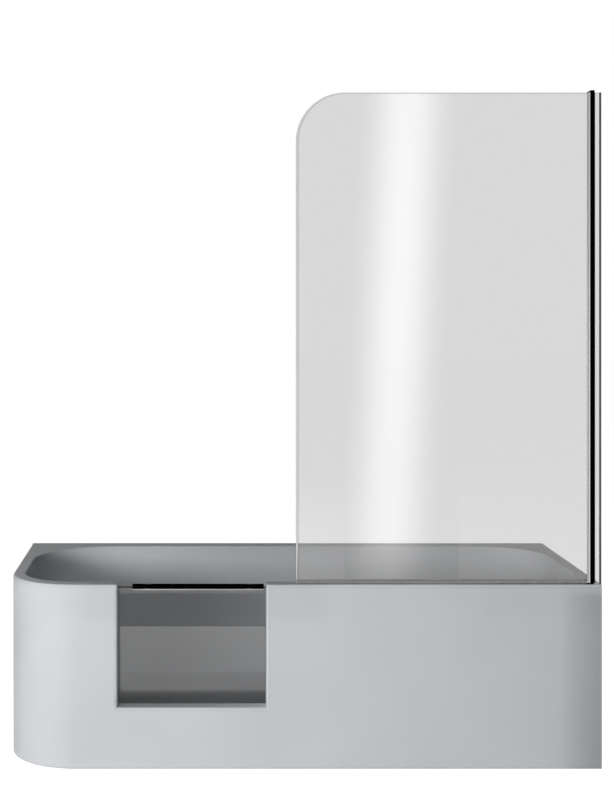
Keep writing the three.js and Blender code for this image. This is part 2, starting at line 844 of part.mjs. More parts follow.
function hingeLeaf() {
  const level = [-doorHinge.leafHeight / 2, doorHinge.leafHeight / 2];
  const through = [level[0] - overrun, level[1] + overrun];
  const seat = paneBack + clearance;
  const across = [seat, seat + doorHinge.leafThickness];
  return block([0, paneLeft + doorHinge.leafReach], across, level)
    .add(rod('z', doorHinge.knuckleRadius, level, [0, 0], smallSteps))
    .subtract(rod('z', doorHinge.pinRadius + clearance, through, [0, 0], smallSteps));
}

piece('door_hinge_rail', hingeRail(), finish.aluminium).position.set(hingeX, hingeY, 0);
for (const [end, z] of hingeZs) {
  piece(`door_hinge_leaf_${end}`, hingeLeaf(), finish.aluminium, door).position.z = z;
  const reach = knuckleSpan + doorHinge.knuckleHeight;
  const pin = rod('z', doorHinge.pinRadius, [-reach, reach], [0, 0], smallSteps);
  piece(`door_hinge_pin_${end}`, pin, finish.chrome).position.set(hingeX, hingeY, z);
}

// The latch on the pane's top edge: a light rail, two carriers, the bar that turns in
// them and the bolt that its end pushes into the keeper.

const barStart = doorHinge.fromJamb + topRail.fromLeft;
const barEnd = doorHinge.fromJamb + doorway.width - topRail.fromRight;
const barLocalY = barY - hingeY;
const neckXs = [barStart + bar.neckFromEnd, barEnd - bar.neckFromEnd];
const railFront = paneFront - clearance - topRail.wall;

function latchRail() {
  const hug = [paneFront - clearance, paneBack + clearance];
  const level = [paneTop - topRail.depth, paneTop + clearance + topRail.cap];
  const along = [barStart - overrun, barEnd + overrun];
  const outside = block([barStart, barEnd], [railFront, hug[1] + topRail.wall], level);
  return outside.subtract(block(along, hug, [level[0] - overrun, paneTop + clearance]));
}

function roundedBar() {
  const half = { y: bar.depth / 2, z: bar.height / 2 };
  const turn = bar.cornerRadius;
  const shape = new THREE.Shape();
  shape.absarc(half.y - turn, half.z - turn, turn, 0, quarter);
  shape.absarc(turn - half.y, half.z - turn, turn, quarter, 2 * quarter);
  shape.absarc(turn - half.y, turn - half.z, turn, 2 * quarter, 3 * quarter);
  shape.absarc(half.y - turn, turn - half.z, turn, 3 * quarter, 4 * quarter);
  return alongX(shape, [barStart, barEnd]);
}

function latchBar() {
  let body = roundedBar();
  for (const x of neckXs) {
    const span = [x - bar.neckLength / 2, x + bar.neckLength / 2];
    const through = [span[0] - overrun, span[1] + overrun];
    const sleeve = block(span, [-bar.depth, bar.depth], [-bar.height, bar.height]);
    body = body.subtract(sleeve.subtract(rod('x', bar.neckRadius, through, [0, 0], smallSteps)));
  }
  const boreSpan = [barEnd - bolt.length - clearance, barEnd + overrun];
  return body.subtract(rod('x', bolt.radius + clearance, boreSpan, [0, 0], smallSteps));
}

function latchCarrier() {
  const span = [clearance - bar.neckLength / 2, bar.neckLength / 2 - clearance];
  const through = [span[0] - overrun, span[1] + overrun];
  const seat = railFront - clearance - barLocalY;
  return rod('x', carrierRadius, span, [0, 0], smallSteps)
    .add(block(span, [0, seat], [-carrierRadius, carrierRadius]))
    .subtract(rod('x', bar.neckRadius + clearance, through, [0, 0], smallSteps));
}

piece('latch_rail', latchRail(), finish.aluminium, door);
neckXs.forEach((x, i) => {
  piece(`latch_carrier_${i + 1}`, latchCarrier(), finish.black, door).position.set(x, barLocalY, barZ);
});
piece('latch_bar', latchBar(), finish.black, door).position.set(0, barLocalY, barZ);
const boltShape = rod('x', bolt.radius, [barEnd - bolt.length, barEnd - clearance], [0, 0], smallSteps);
piece('latch_bolt', boltShape, finish.chrome, door).position.set(0, barLocalY, barZ);
const keeper = disc(keeperRadius, bolt.radius + clearance, [doorwayRight, doorwayRight + shell.wall]);
piece('latch_keeper', keeper, finish.chrome).position.set(0, barY, barZ);

// The screen. Its group stands on the post's axis, with the rim's face as its zero height.

const stripRight = rightEnd - channel.wall - clearance;
const stripLeft = stripRight - strip.width;
const postX = stripLeft - clearance - post.radius + post.grooveDepth;
const screenY = frontFace + glass.setback;
const screen = new THREE.Group();
screen.position.set(postX, screenY, 0);
showerBath.add(screen);

const armBottom = bath.height + clearance;
const postBottom = armBottom + pivot.armThickness + clearance;
const clampRight = -post.radius - clearance;
const clampLeft = clampRight - clamp.width;
const glassRight = clampLeft + clamp.hold;
const glassLeft = leftEnd + glass.fromLeft - postX;
const glassBottom = bath.height + wiper.lip + clearance;
const halfGlass = glass.thickness / 2;

function pivotPost() {
  const level = [postBottom, glassTop];
  const bore = rod('z', post.boreRadius, [level[0] - overrun, level[1] + overrun], [0, 0], smallSteps);
  const groove = block(
    [post.radius - post.grooveDepth, post.radius + overrun],
    [-halfGlass - clearance, halfGlass + clearance],
    [level[0] - overrun, level[1] + overrun],
  );
  return rod('z', post.radius, level, [0, 0]).subtract(bore).subtract(groove);
}

// The arm reaches from the clamp over the post's end, with a pin in its bore.
function pivotArm(face, turn, eyeRadius, thickness) {
  const away = face + turn * thickness;
  const level = [Math.min(face, away), Math.max(face, away)];
  const pinEnd = face - turn * pivot.pinLength;
  const pinLevel = [Math.min(face, pinEnd), Math.max(face, pinEnd)];
  const plate = block([clampLeft, clampRight], [-clamp.depth / 2, clamp.depth / 2], level);
  const neck = block([clampRight - overrun, 0], [-eyeRadius, eyeRadius], level);
  const eye = rod('z', eyeRadius, level, [0, 0]);
  const pin = rod('z', pivot.pinRadius, pinLevel, [0, 0], smallSteps);
  return plate.add(neck).add(eye).add(pin);
}

function screenClamp() {
  const level = [postBottom, glassTop];
  const outside = block([clampLeft, clampRight], [-clamp.depth / 2, clamp.depth / 2], level);
  const slot = block(
    [clampLeft - overrun, glassRight + clearance],
    [-halfGlass - clearance, halfGlass + clearance],
    [level[0] - overrun, level[1] + overrun],
  );
  return outside.subtract(slot);
}

function screenPane() {
  const turn = glass.cornerRadius;
  const shape = new THREE.Shape();
  shape.moveTo(glassLeft, glassBottom);
  shape.lineTo(glassRight, glassBottom);
  shape.lineTo(glassRight, glassTop);
  shape.lineTo(glassLeft + turn, glassTop);
  shape.absarc(glassLeft + turn, glassTop - turn, turn, quarter, 2 * quarter);
  const geometry = new THREE.ExtrudeGeometry(shape, {
    depth: glass.thickness,
    bevelEnabled: false,
    curveSegments: roundSteps,
  });
  return solid(geometry.rotateX(quarter).translate(0, halfGlass, 0));
}

// A clear profile that hugs the pane's lower edge and ends in a lip just above the rim.
function screenWiper() {
  const span = [glassLeft, clampLeft - clearance];
  const hug = halfGlass + clearance;
  const seat = glassBottom - clearance;
  const top = glassBottom + wiper.height;
  const through = [span[0] - overrun, span[1] + overrun];
  return block(span, [-hug - wiper.wall, hug + wiper.wall], [seat - wiper.wall, top])
    .subtract(block(through, [-hug, hug], [seat, top + overrun]))
    .add(block(span, [-wiper.wall / 2, wiper.wall / 2], [armBottom, seat]));
}

piece('pivot_post', pivotPost(), finish.black).position.set(postX, screenY, 0);
piece('screen_clamp', screenClamp(), finish.aluminium, screen);
const lowEyeRadius = post.radius - post.grooveDepth - clearance;
const lowArm = pivotArm(postBottom - clearance, -1, lowEyeRadius, pivot.armThickness);
piece('screen_arm_bottom', lowArm, finish.black, screen);
const topArm = pivotArm(glassTop + clearance, 1, post.radius, pivot.capThickness);
piece('screen_arm_top', topArm, finish.black, screen);
piece('screen_glass', screenPane(), finish.glass, screen);
piece('screen_wiper', screenWiper(), finish.seal, screen);

const stripFace = [screenY - halfGlass, screenY + halfGlass];
const fixedStrip = block([stripLeft, stripRight], stripFace, [armBottom, glassTop]);
piece('fixed_strip', fixedStrip, finish.glass);

function wallChannel() {
  const outer = halfGlass + clearance + channel.wall;
  const level = [armBottom, glassTop];
  const outside = block([rightEnd - channel.depth, rightEnd], [screenY - outer, screenY + outer], level);
  const slot = block(
    [rightEnd - channel.depth - overrun, rightEnd - channel.wall],
    [screenY - halfGlass - clearance, screenY + halfGlass + clearance],
    [level[0] - overrun, level[1] + overrun],
  );
  return outside.subtract(slot);
}

piece('wall_channel', wallChannel(), finish.black);

export default showerBath;
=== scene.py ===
# A shower bath with a glass door and a swinging screen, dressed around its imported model.
# Shapes are worked out in millimetres and become metres when a mesh is made.
import math

import bmesh
import bpy
import numpy as np
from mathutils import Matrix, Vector


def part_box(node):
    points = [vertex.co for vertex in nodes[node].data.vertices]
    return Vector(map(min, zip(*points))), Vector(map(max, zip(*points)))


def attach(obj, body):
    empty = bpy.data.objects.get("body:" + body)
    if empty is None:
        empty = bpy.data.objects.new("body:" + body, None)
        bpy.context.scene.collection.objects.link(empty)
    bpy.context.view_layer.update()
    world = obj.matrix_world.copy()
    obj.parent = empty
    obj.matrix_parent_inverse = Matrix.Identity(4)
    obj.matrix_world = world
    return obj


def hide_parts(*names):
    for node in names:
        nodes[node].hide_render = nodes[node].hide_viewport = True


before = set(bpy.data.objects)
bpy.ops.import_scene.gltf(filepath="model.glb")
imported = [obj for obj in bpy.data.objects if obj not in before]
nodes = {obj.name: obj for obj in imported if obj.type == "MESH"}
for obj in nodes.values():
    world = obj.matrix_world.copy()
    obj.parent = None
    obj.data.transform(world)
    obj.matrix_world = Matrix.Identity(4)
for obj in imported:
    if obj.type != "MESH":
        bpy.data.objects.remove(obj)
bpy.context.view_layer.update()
print("frame loaded:", len(nodes), "nodes")

# shader maths


class Wire:
    # One output socket. Sums written with it add Math nodes to the same tree.
    def __init__(self, tree, socket=None):
        self.tree = tree
        self.socket = socket

    def add(self, kind, settings=None, inputs=None, output=0):
        # any node: its settings are set first, then the values or links of its sockets
        made = self.tree.nodes.new("ShaderNode" + kind)
        for name, value in (settings or {}).items():
            if name == "stops":
                setStops(made.color_ramp, value)
            else:
                setattr(made, name, value)
        for name, value in (inputs or {}).items():
            if isinstance(value, Wire):
                self.tree.links.new(value.socket, made.inputs[name])
            else:
                made.inputs[name].default_value = value
        return Wire(self.tree, made.outputs[output] if len(made.outputs) else None)

    def noise(self, place, scale, detail, output=0):
        return self.add("TexNoise", {}, {"Vector": place, "Scale": scale, "Detail": detail}, output)

    def reckon(self, operation, *values):
        return self.add("Math", {"operation": operation}, dict(enumerate(values)))

    def __add__(self, other):
        return self.reckon("ADD", self, other)

    def __sub__(self, other):
        return self.reckon("SUBTRACT", self, other)

    def __rsub__(self, other):
        return self.reckon("SUBTRACT", other, self)

    def __mul__(self, other):
        return self.reckon("MULTIPLY", self, other)

    def __truediv__(self, other):
        return self.reckon("DIVIDE", self, other)

    def __pow__(self, other):
        return self.reckon("POWER", self, other)

    __radd__ = __add__

    def clipped(self, low, high):
        # carries low..high to 0..1 and holds it there
        return self.add("MapRange", {"clamp": True}, {"Value": self, "From Min": low, "From Max": high})

    def blend(self, dark, light):
        return self.add("Mix", {"data_type": "RGBA"}, {0: self, 6: dark, 7: light}, 2)


def setStops(ramp, stops):
    while len(ramp.elements) < len(stops):
        ramp.elements.new(1.0)
    for element, (place, colour) in zip(ramp.elements, stops):
        element.position = place
        element.color = colour


def startLook(name):
    look = bpy.data.materials.new(name)
    look.use_nodes = True
    look.node_tree.nodes.clear()
    return look, Wire(look.node_tree)


def grey(level, warm=0.0):
    # a level of grey, leaning to blue where warm is below zero
    return (level * (1 + warm), level, level * (1 - warm), 1.0)


def endLook(look, start, shader):
    start.add("OutputMaterial", {}, {"Surface": shader})
    return look


# finishes

acrylic = {
    "dark": (0.640, 0.655, 0.674, 1.0),
    "light": (0.676, 0.690, 0.708, 1.0),
    "cloudScale": 2.3,  # broad, faint change of tone
    "wipeScale": 14.0,
    "roughness": 0.42,
    "roughSpread": 0.07,
    "shine": 0.012,
    "grainScale": 1400.0,
    "grainDepth": 0.00012,
}


def acrylicLook(name):
    # a faint cloud of tone, wiped unevenly smooth, under a very fine grain
    look, start = startLook(name)
    place = start.add("TexCoord", output="Object")
    clouds = start.noise(place, acrylic["cloudScale"], 2.0)
    wiped = {"Vector": place, "Scale": acrylic["wipeScale"], "Detail": 4.0, "Distortion": 0.6}
    wipes = start.add("TexNoise", {}, wiped)
    grain = start.noise(place, acrylic["grainScale"], 1.0)
    colour = clouds.clipped(0.35, 0.65).blend(acrylic["dark"], acrylic["light"])
    rough = acrylic["roughness"] + (wipes - 0.5) * acrylic["roughSpread"]
    bump = start.add("Bump", {}, {"Height": grain, "Strength": 0.25, "Distance": acrylic["grainDepth"]})
    body = {"Base Color": colour, "Roughness": rough, "Normal": bump, "Specular IOR Level": acrylic["shine"]}
    shader = start.add("BsdfPrincipled", {}, body)
    return endLook(look, start, shader)


def metalLook(name, dark, light, rough, stretch, depth=0.00003, bright=0.6):
    # brushed lines: noise drawn out along the axis whose stretch is small; polished parts are brighter
    look, start = startLook(name)
    place = start.add("TexCoord", output="Object")
    drawn = start.add("Mapping", {}, {"Vector": place, "Scale": stretch})
    lines = start.noise(drawn, 1.0, 3.0)
    marks = start.noise(place, 38.0, 5.0)
    polished = start.add("Attribute", {"attribute_name": "polished"}, output="Fac")
    colour = polished.blend(lines.clipped(0.3, 0.7).blend(dark, light), grey(bright, -0.01))
    roughness = rough + (marks - 0.5) * 0.12 + (lines - 0.5) * 0.1
    bump = start.add("Bump", {}, {"Height": lines, "Strength": 0.3, "Distance": depth})
    shader = start.add(
        "BsdfPrincipled", {}, {"Base Color": colour, "Metallic": 1.0, "Roughness": roughness, "Normal": bump}
    )
    return endLook(look, start, shader)


def zincLook(name):
    # galvanised steel: flat crystals in several greys, dulled a little
    look, start = startLook(name)
    place = start.add("TexCoord", output="Object")
    cells = start.add("TexVoronoi", {}, {"Vector": place, "Scale": 130.0}, "Color")
    spangle = cells.add("SeparateColor", {}, {0: cells})
    dust = start.noise(place, 25.0, 6.0)
    colour = spangle.clipped(0.0, 1.0).blend(grey(0.36, -0.02), grey(0.58, -0.02))
    roughness = 0.34 + spangle * 0.16 + (dust - 0.5) * 0.2
    shader = start.add("BsdfPrincipled", {}, {"Base Color": colour, "Metallic": 0.95, "Roughness": roughness})
    return endLook(look, start, shader)


def plasticLook(name, dark, light, rough, scale, depth=0.0002, shine=0.5):
    look, start = startLook(name)
    place = start.add("TexCoord", output="Object")
    grain = start.noise(place, scale, 3.0)
    stain = start.noise(place, 16.0, 4.0)
    colour = stain.clipped(0.3, 0.7).blend(dark, light)
    bump = start.add("Bump", {}, {"Height": grain, "Strength": 0.4, "Distance": depth})
    roughness = rough + (stain - 0.5) * 0.15
    body = {"Base Color": colour, "Roughness": roughness, "Normal": bump, "Specular IOR Level": shine}
    shader = start.add("BsdfPrincipled", {}, body)
    return endLook(look, start, shader)


def boardLook(name):
    # resin-bonded chipboard: flakes of several browns
    look, start = startLook(name)
    place = start.add("TexCoord", output="Object")
    bent = start.noise(place, 60.0, 2.0, "Color")
    bending = {"data_type": "RGBA", "blend_type": "LINEAR_LIGHT"}
    moved = start.add("Mix", bending, {0: 0.012, 6: place, 7: bent}, 2)
    flakes = start.add("TexVoronoi", {}, {"Vector": moved, "Scale": 240.0}, "Color")
    flake = flakes.add("SeparateColor", {}, {0: flakes})
    ramp = [(0.0, (0.20, 0.115, 0.052, 1)), (0.45, (0.36, 0.235, 0.125, 1)), (1.0, (0.52, 0.385, 0.235, 1))]
    colour = flake.add("ValToRGB", {"stops": ramp}, {0: flake})
    bump = start.add("Bump", {}, {"Height": flake, "Strength": 0.5, "Distance": 0.0003})
    shader = start.add("BsdfPrincipled", {}, {"Base Color": colour, "Roughness": 0.82, "Normal": bump})
    return endLook(look, start, shader)


def glassLook(name, tint, edge, shine, bend, lampShare=None, matt=0.0):
    # tinted glass with a faint haze, with painted shade along its polished edges and a seal's lip, darker
    # and as matt as asked there; lamps shine through it with lampShare of their colour
    look, start = startLook(name)
    place = start.add("TexCoord", output="Object")
    film = start.noise(place, 3.0, 3.0)
    polished = start.add("Attribute", {"attribute_name": "polished"}, output="Fac")
    colour = polished.blend(tint, edge)
    sockets = {"Roughness": (film - 0.5) * 0.01, "IOR": bend, "Specular IOR Level": shine}
    sockets["Transmission Weight"] = 1.0
    body = start.add("BsdfPrincipled", {}, sockets | {"Base Color": colour})
    # where matt is asked, the painted shade becomes a flat, nearly black face
    if matt:
        flat = {"Base Color": edge, "Roughness": 0.6, "Specular IOR Level": 0.05}
        ground = start.add("BsdfPrincipled", {}, flat)
        body = start.add("MixShader", {}, {0: polished * matt, 1: body, 2: ground})
    clear = start.add("BsdfTransparent", {}, {"Color": lampShare or tint})
    lampRay = start.add("LightPath", output="Is Shadow Ray")
    shader = start.add("MixShader", {}, {0: lampRay, 1: body, 2: clear})
    return endLook(look, start, shader)


looks = {
    "tub": acrylicLook("tubAcrylic"),
    "panel": acrylicLook("panelAcrylic"),
    "zinc": zincLook("galvanisedSteel"),
    "rubber": plasticLook("blackRubber", grey(0.012), grey(0.024), 0.72, 900.0),
    "chrome": metalLook("polishedChrome", grey(0.62), grey(0.72), 0.13, (90.0, 90.0, 90.0), 0.000005),
    "pipe": plasticLook("whitePipe", grey(0.66, 0.012), grey(0.74, 0.012), 0.42, 1200.0, 0.0001),
    "sleeve": plasticLook("cableSleeve", grey(0.02), grey(0.035), 0.5, 700.0),
    "aluminium": metalLook("satinAluminium", grey(0.32, -0.01), grey(0.40, -0.01), 0.3, (900.0, 900.0, 14.0)),
    "latchRail": plasticLook(
        "latchAnodised", grey(0.50, -0.01), grey(0.58, -0.01), 0.45, 1500.0, 0.00004, 0.2
    ),
    "black": plasticLook("blackPowderCoat", grey(0.0008), grey(0.0016), 0.5, 1800.0, 0.00006, 0.0),
    "channel": plasticLook("greyAnodised", grey(0.10), grey(0.13), 0.5, 1500.0, 0.00006, 0.1),
    "board": boardLook("chipboard"),
    # the second colour of each glass is painted shade, laid along the panes' edges and the wiper's lip
    "screen": glassLook("screenGlass", grey(0.662), grey(0.44), 1.0, 1.82, grey(0.84)),
    "door": glassLook("doorGlass", grey(0.57), grey(0.004), 0.16, 1.45, grey(0.5), 1.0),
    "seal": glassLook("clearSeal", grey(0.93), grey(0.30), 0.3, 1.12),
}
print("finishes made:", len(looks))

# meshes


def gridFaces(rows, cols, closeRows=False, closeCols=False):
    # four corners each, from every point of a grid to its neighbours along rows and columns
    r, c = np.meshgrid(
        np.arange(rows if closeRows else rows - 1), np.arange(cols if closeCols else cols - 1), indexing="ij"
    )
    down, right = (r + 1) % rows, (c + 1) % cols
    return np.stack([r * cols + c, r * cols + right, down * cols + right, down * cols + c], -1).reshape(-1, 4)


def addPiece(name, parts, look, body, stands, sharp=32.0, outwards=True):
    # parts is a list of (points, faces) or (points, faces, shade), where shade holds the polish of metal and
    # the painted shade of glass per point; doubles are merged, and the faces turned outwards where that is
    # asked
    points = np.concatenate([part[0].reshape(-1, 3) for part in parts])
    faces, start = [], 0
    for part in parts:
        faces += [[int(i) + start for i in face] for face in part[1]]
        start += part[0].reshape(-1, 3).shape[0]
    mesh = bpy.data.meshes.new(name)
    mesh.from_pydata((points / 1000).tolist(), [], faces)
    if any(len(part) > 2 for part in parts):
        shadeAndPolish = np.concatenate([part[2] if len(part) > 2 else np.zeros(part[0].size // 3) for part in parts])
        mesh.attributes.new("polished", "FLOAT", "POINT").data.foreach_set("value", shadeAndPolish)
    work = bmesh.new()
    work.from_mesh(mesh)
    bmesh.ops.remove_doubles(work, verts=work.verts, dist=2e-6)
    loose = [v for v in work.verts if not v.link_faces]
    bmesh.ops.delete(work, geom=loose, context="VERTS")
    if outwards:
        bmesh.ops.recalc_face_normals(work, faces=work.faces)
    work.to_mesh(mesh)
    work.free()
    mesh.polygons.foreach_set("use_smooth", np.ones(len(mesh.polygons), bool))
    mesh.set_sharp_from_angle(angle=math.radians(sharp))
    mesh.materials.append(looks[look])
    piece = bpy.data.objects.new(name, mesh)
    bpy.context.scene.collection.objects.link(piece)
    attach(piece, body)
    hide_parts(*stands)
    return piece


def nodeBox(name):
    low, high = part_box(name)
    return np.array(low) * 1000, np.array(high) * 1000


def lerp(a, b, share):
    return a + (b - a) * share


# tub

rimTop = float(nodeBox("bath_shell")[1][2])
tub = {
    "rimTop": rimTop,
    "slab": 8.0,  # thickness of the rim and of the basin's wall
    "left": -850.0,
    "right": 850.0,
    "front": -375.0,
    "back": 375.0,
    "cornerRadius": 197.0,
    "rim": {"left": 36.0, "right": 38.0, "front": 50.0, "back": 65.0},
    "radii": (155.0, 150.0, 200.0, 250.0),  # basin corners: front left, front right, back right, back left
    "crease": {"left": 18.0, "right": 0.0, "front": 0.0, "back": 5.0, "corner": 4.0, "z": 267.0},
    "foot": {"left": 62.0, "right": 42.0, "front": 0.0, "back": 55.0, "corner": 40.0, "z": 152.0},
    "floorFillet": 22.0,
    "softReach": 30.0,  # the edge is at its full softness this far from a wall of the room
    "edgeSoft": 5.0,  # outer edge of the rim
    "jambRound": 6.8,  # the same edge down the jambs
    "wallSoft": 1.5,  # the same edge where it meets a wall of the room
    "innerSoft": 4.0,  # inner edge of the rim
    "jambSoft": 2.5,  # top of each jamb
    "doorLeft": -532.0,
    "doorRight": -106.5,
    "sill": 179.0,
    "waste": (520.0, -32.5),
    "wasteRadius": 26.0,
    "wasteFlat": 46.0,  # the floor is level this far round the waste
    "floorStep": 0.01,  # share of the way to the waste at which the floor leaves its fillet
    "hiddenStep": 2.0,  # from the slab's underside to the next hidden row
    "flatShares": (0.03, 0.5, 0.97),  # rows across the rim
    "cornerSteps": 33,
    "sideColumns": (5, 16, 4),  # along the right, back and left sides
    "rightStops": (20, 160, 300, 440, 560),  # columns right of the doorway
    "leftStops": (-610, -575),
    "besideDoor": 14,  # from the doorway's edge to the next column
    "besideArc": 6,  # from a corner's arc, and from the sill's ends
    "jambRows": [rimTop - 5.5, 500, 460, 420, 380, 340, 300, 269.5, 267, 264.5, 240, 215, 195, 184],
    "lowRows": [165, 157],
}
noInset = {"left": 0.0, "right": 0.0, "front": 0.0, "back": 0.0, "corner": 0.0}
sillXs = np.linspace(tub["doorLeft"] + tub["besideArc"], tub["doorRight"] - tub["besideArc"], 9)


def frontStops(doorEnds, arcEnds):
    # x of the columns on the front side: right of the doorway outwards, then from the corner up to it
    beside, past = tub["besideDoor"], tub["besideArc"]
    right = np.array([doorEnds[1], doorEnds[1] + beside, *tub["rightStops"], arcEnds[1] - past])
    left = np.array([arcEnds[0] + past, *tub["leftStops"], doorEnds[0] - beside, doorEnds[0]])
    return left, right


def ringColumns(arcs, doorEnds):
    # a closed plan, anticlockwise from the doorway's right: front, right, back, left and round
    # again to the doorway's left. arcs holds the points of the corners, from the front left one.
    def run(a, b, count):
        return lerp(a[-1], b[0], np.linspace(0, 1, count + 2)[1:-1, None])

    left, right = frontStops(doorEnds, (arcs[0][-1, 0], arcs[1][0, 0]))
    frontY = arcs[0][-1, 1]
    onRight, onBack, onLeft = tub["sideColumns"]
    return np.concatenate(
        [
            np.stack([right, np.full(len(right), frontY)], -1),
            arcs[1],
            run(arcs[1], arcs[2], onRight),
            arcs[2],
            run(arcs[2], arcs[3], onBack),
            arcs[3],
            run(arcs[3], arcs[0], onLeft),
            arcs[0],
            np.stack([left, np.full(len(left), frontY)], -1),
        ]
    )


def arcPoints(centre, radius, start):
    turn = start + np.linspace(0, math.pi / 2, tub["cornerSteps"])
    return np.stack([centre[0] + radius * np.cos(turn), centre[1] + radius * np.sin(turn)], -1)


def basinPlan(inset, drawn, doorEnds):
    # four quarter circles joined by straight runs, each side moved in by its inset
    left = tub["left"] + tub["rim"]["left"] + inset["left"] + drawn
    right = tub["right"] - tub["rim"]["right"] - inset["right"] - drawn
    front = tub["front"] + tub["rim"]["front"] + inset["front"] + drawn
    back = tub["back"] - tub["rim"]["back"] - inset["back"] - drawn
    fl, fr, br, bl = (radius - inset["corner"] - drawn for radius in tub["radii"])
    arcs = [
        arcPoints((left + fl, front + fl), fl, math.pi),
        arcPoints((right - fr, front + fr), fr, -math.pi / 2),
        arcPoints((right - br, back - br), br, 0.0),
        arcPoints((left + bl, back - bl), bl, math.pi / 2),
    ]
    return ringColumns(arcs, doorEnds)


def squarePoints(corner, first, last):
    # from first to the corner and on to last, with the middle point at the corner
    share = np.linspace(0, 2, tub["cornerSteps"])[:, None]
    first, corner, last = np.array(first), np.array(corner), np.array(last)
    return np.where(share < 1, lerp(first, corner, share), lerp(corner, last, share - 1))


def outerPlan(drawn, doorEnds):
    # the rim's outer edge: round at the free corner, square at the three others
    left, right = tub["left"] + drawn, tub["right"] - drawn
    front, back = tub["front"] + drawn, tub["back"] - drawn
    turn = tub["cornerRadius"] - drawn
    fl = arcPoints((left + turn, front + turn), turn, math.pi)
    innerLeft = tub["left"] + tub["rim"]["left"]
    innerRight = tub["right"] - tub["rim"]["right"]
    innerFront = tub["front"] + tub["rim"]["front"]
    innerBack = tub["back"] - tub["rim"]["back"]
    _, fr, br, bl = tub["radii"]
    arcs = [
        fl,
        squarePoints((right, front), (innerRight - fr, front), (right, innerFront + fr)),
        squarePoints((right, back), (right, innerBack - br), (innerRight - br, back)),
        squarePoints((left, back), (innerLeft + bl, back), (left, innerBack - bl)),
    ]
    return ringColumns(arcs, doorEnds)


def raised(plan, z):
    return np.concatenate([plan, np.broadcast_to(np.asarray(z, float), plan.shape[:1])[:, None]], 1)


def tubRows():
    # the rim's section from the outside in: (kind, along, depth) for the shown side
    steps = np.linspace(0, 1, 6) * math.pi / 2
    rows = [("outer", 0.0, "slab"), ("outer", 0.0, "hold")]
    rows += [("outerTurn", t, None) for t in steps]
    rows += [("flat", s, None) for s in tub["flatShares"]]
    rows += [("innerTurn", t, None) for t in steps]
    return rows


def tubBand():
    # The band from the rim's outer lip to the basin: along the plan it is a strip between two
    # plans, and in the doorway the same section runs down a jamb, along the sill and up again.
    top, slab, inner, jamb = tub["rimTop"], tub["slab"], tub["innerSoft"], tub["jambSoft"]
    ends = (tub["doorLeft"] - jamb, tub["doorRight"] + jamb)
    outerEdge = outerPlan(0.0, ends)
    outwards = outerPlan(1.0, ends) - outerEdge  # into the slab from its edge
    innerEdge = basinPlan(noInset, 0.0, ends)
    away = basinPlan(noInset, -1.0, ends) - innerEdge  # into the slab from the basin
    for move in (outwards, away):
        move[:7, 0] = move[-4:, 0] = 0.0  # the columns beside the doorway keep their x
    toWall = np.minimum(tub["right"] - outerEdge[:, 0], tub["back"] - outerEdge[:, 1])
    soft = lerp(tub["wallSoft"], tub["edgeSoft"], np.clip(toWall / tub["softReach"], 0, 1))

    def hiddenShare(kind, value):
        # how far a hidden row lies on the way from the slab's outer side to its inner one
        return {"outer": 0.0, "outerTurn": 0.0, "innerTurn": 1.0}.get(kind, value)

    def ringRow(kind, value, depth, hidden):
        if hidden:
            near, far = outerEdge + outwards * slab, innerEdge + away * slab
            return raised(lerp(near, far, hiddenShare(kind, value)), top - slab)
        if kind == "outer":
            return raised(outerEdge, top - (slab if depth == "slab" else np.minimum(soft + 1, slab)))
        if kind == "outerTurn":
            drawn = (soft * (1 - math.cos(value)))[:, None]
            return raised(outerEdge + outwards * drawn, top - soft * (1 - math.sin(value)))
        if kind == "flat":
            return raised(lerp(outerEdge + outwards * soft[:, None], innerEdge + away * inner, value), top)
        return raised(innerEdge + away * inner * (1 - math.sin(value)), top - inner * (1 - math.cos(value)))

    def doorRow(kind, value, depth, hidden):
        # y and the depth below the surface of one row, then its points round the doorway
        front, back, bend = tub["front"], tub["front"] + tub["rim"]["front"], tub["jambRound"]
        if hidden:
            y, d = lerp(front + slab, back - slab, hiddenShare(kind, value)), slab
        elif kind == "outer":
            y, d = front, slab if depth == "slab" else bend + 1
        elif kind == "outerTurn":
            y, d = front + bend * (1 - math.cos(value)), bend * (1 - math.sin(value))
        elif kind == "flat":
            y, d = lerp(front + bend, back - inner, value), 0.0
        else:
            y, d = back - inner * (1 - math.sin(value)), inner * (1 - math.cos(value))
        turn = np.radians([22.5, 45, 67.5, 90])
        left, sill = tub["doorLeft"], tub["sill"]
        mid, reach = max(jamb, d), max(jamb - d, 0)
        arc = np.stack([left - mid + reach * np.sin(turn), top - mid + reach * np.cos(turn)], -1)
        zs = np.minimum(tub["jambRows"], top - d)
        side = np.stack([np.full(len(zs), left - d), zs], -1)
        half = np.concatenate([arc, side, [[left - d, sill - d]]])
        floor = np.stack([sillXs, np.full(len(sillXs), sill - d)], -1)
        mirrored = half[::-1] * [-1, 1] + [left + tub["doorRight"], 0]
        loop = np.concatenate([half, floor, mirrored])
        return np.stack([loop[:, 0], np.full(len(loop), y), loop[:, 1]], -1)

    def bandRow(row, hidden):
        kind, value, depth = row
        ring = ringRow(kind, value, depth, hidden)
        d = top - ring[[0, -1], 2]  # the first and last column keep clear of the jambs' corner
        ring[0, 0] = max(ring[0, 0], tub["doorRight"] + d[0])
        ring[-1, 0] = min(ring[-1, 0], tub["doorLeft"] - d[1])
        return np.concatenate([ring, doorRow(kind, value, depth, hidden)])

    rows = tubRows()
    shown = np.array([bandRow(row, False) for row in rows])
    hidden = np.array([bandRow(row, True) for row in rows])
    stacked = np.concatenate([shown[::-1], hidden])
    return stacked, gridFaces(stacked.shape[0], stacked.shape[1], closeCols=True)


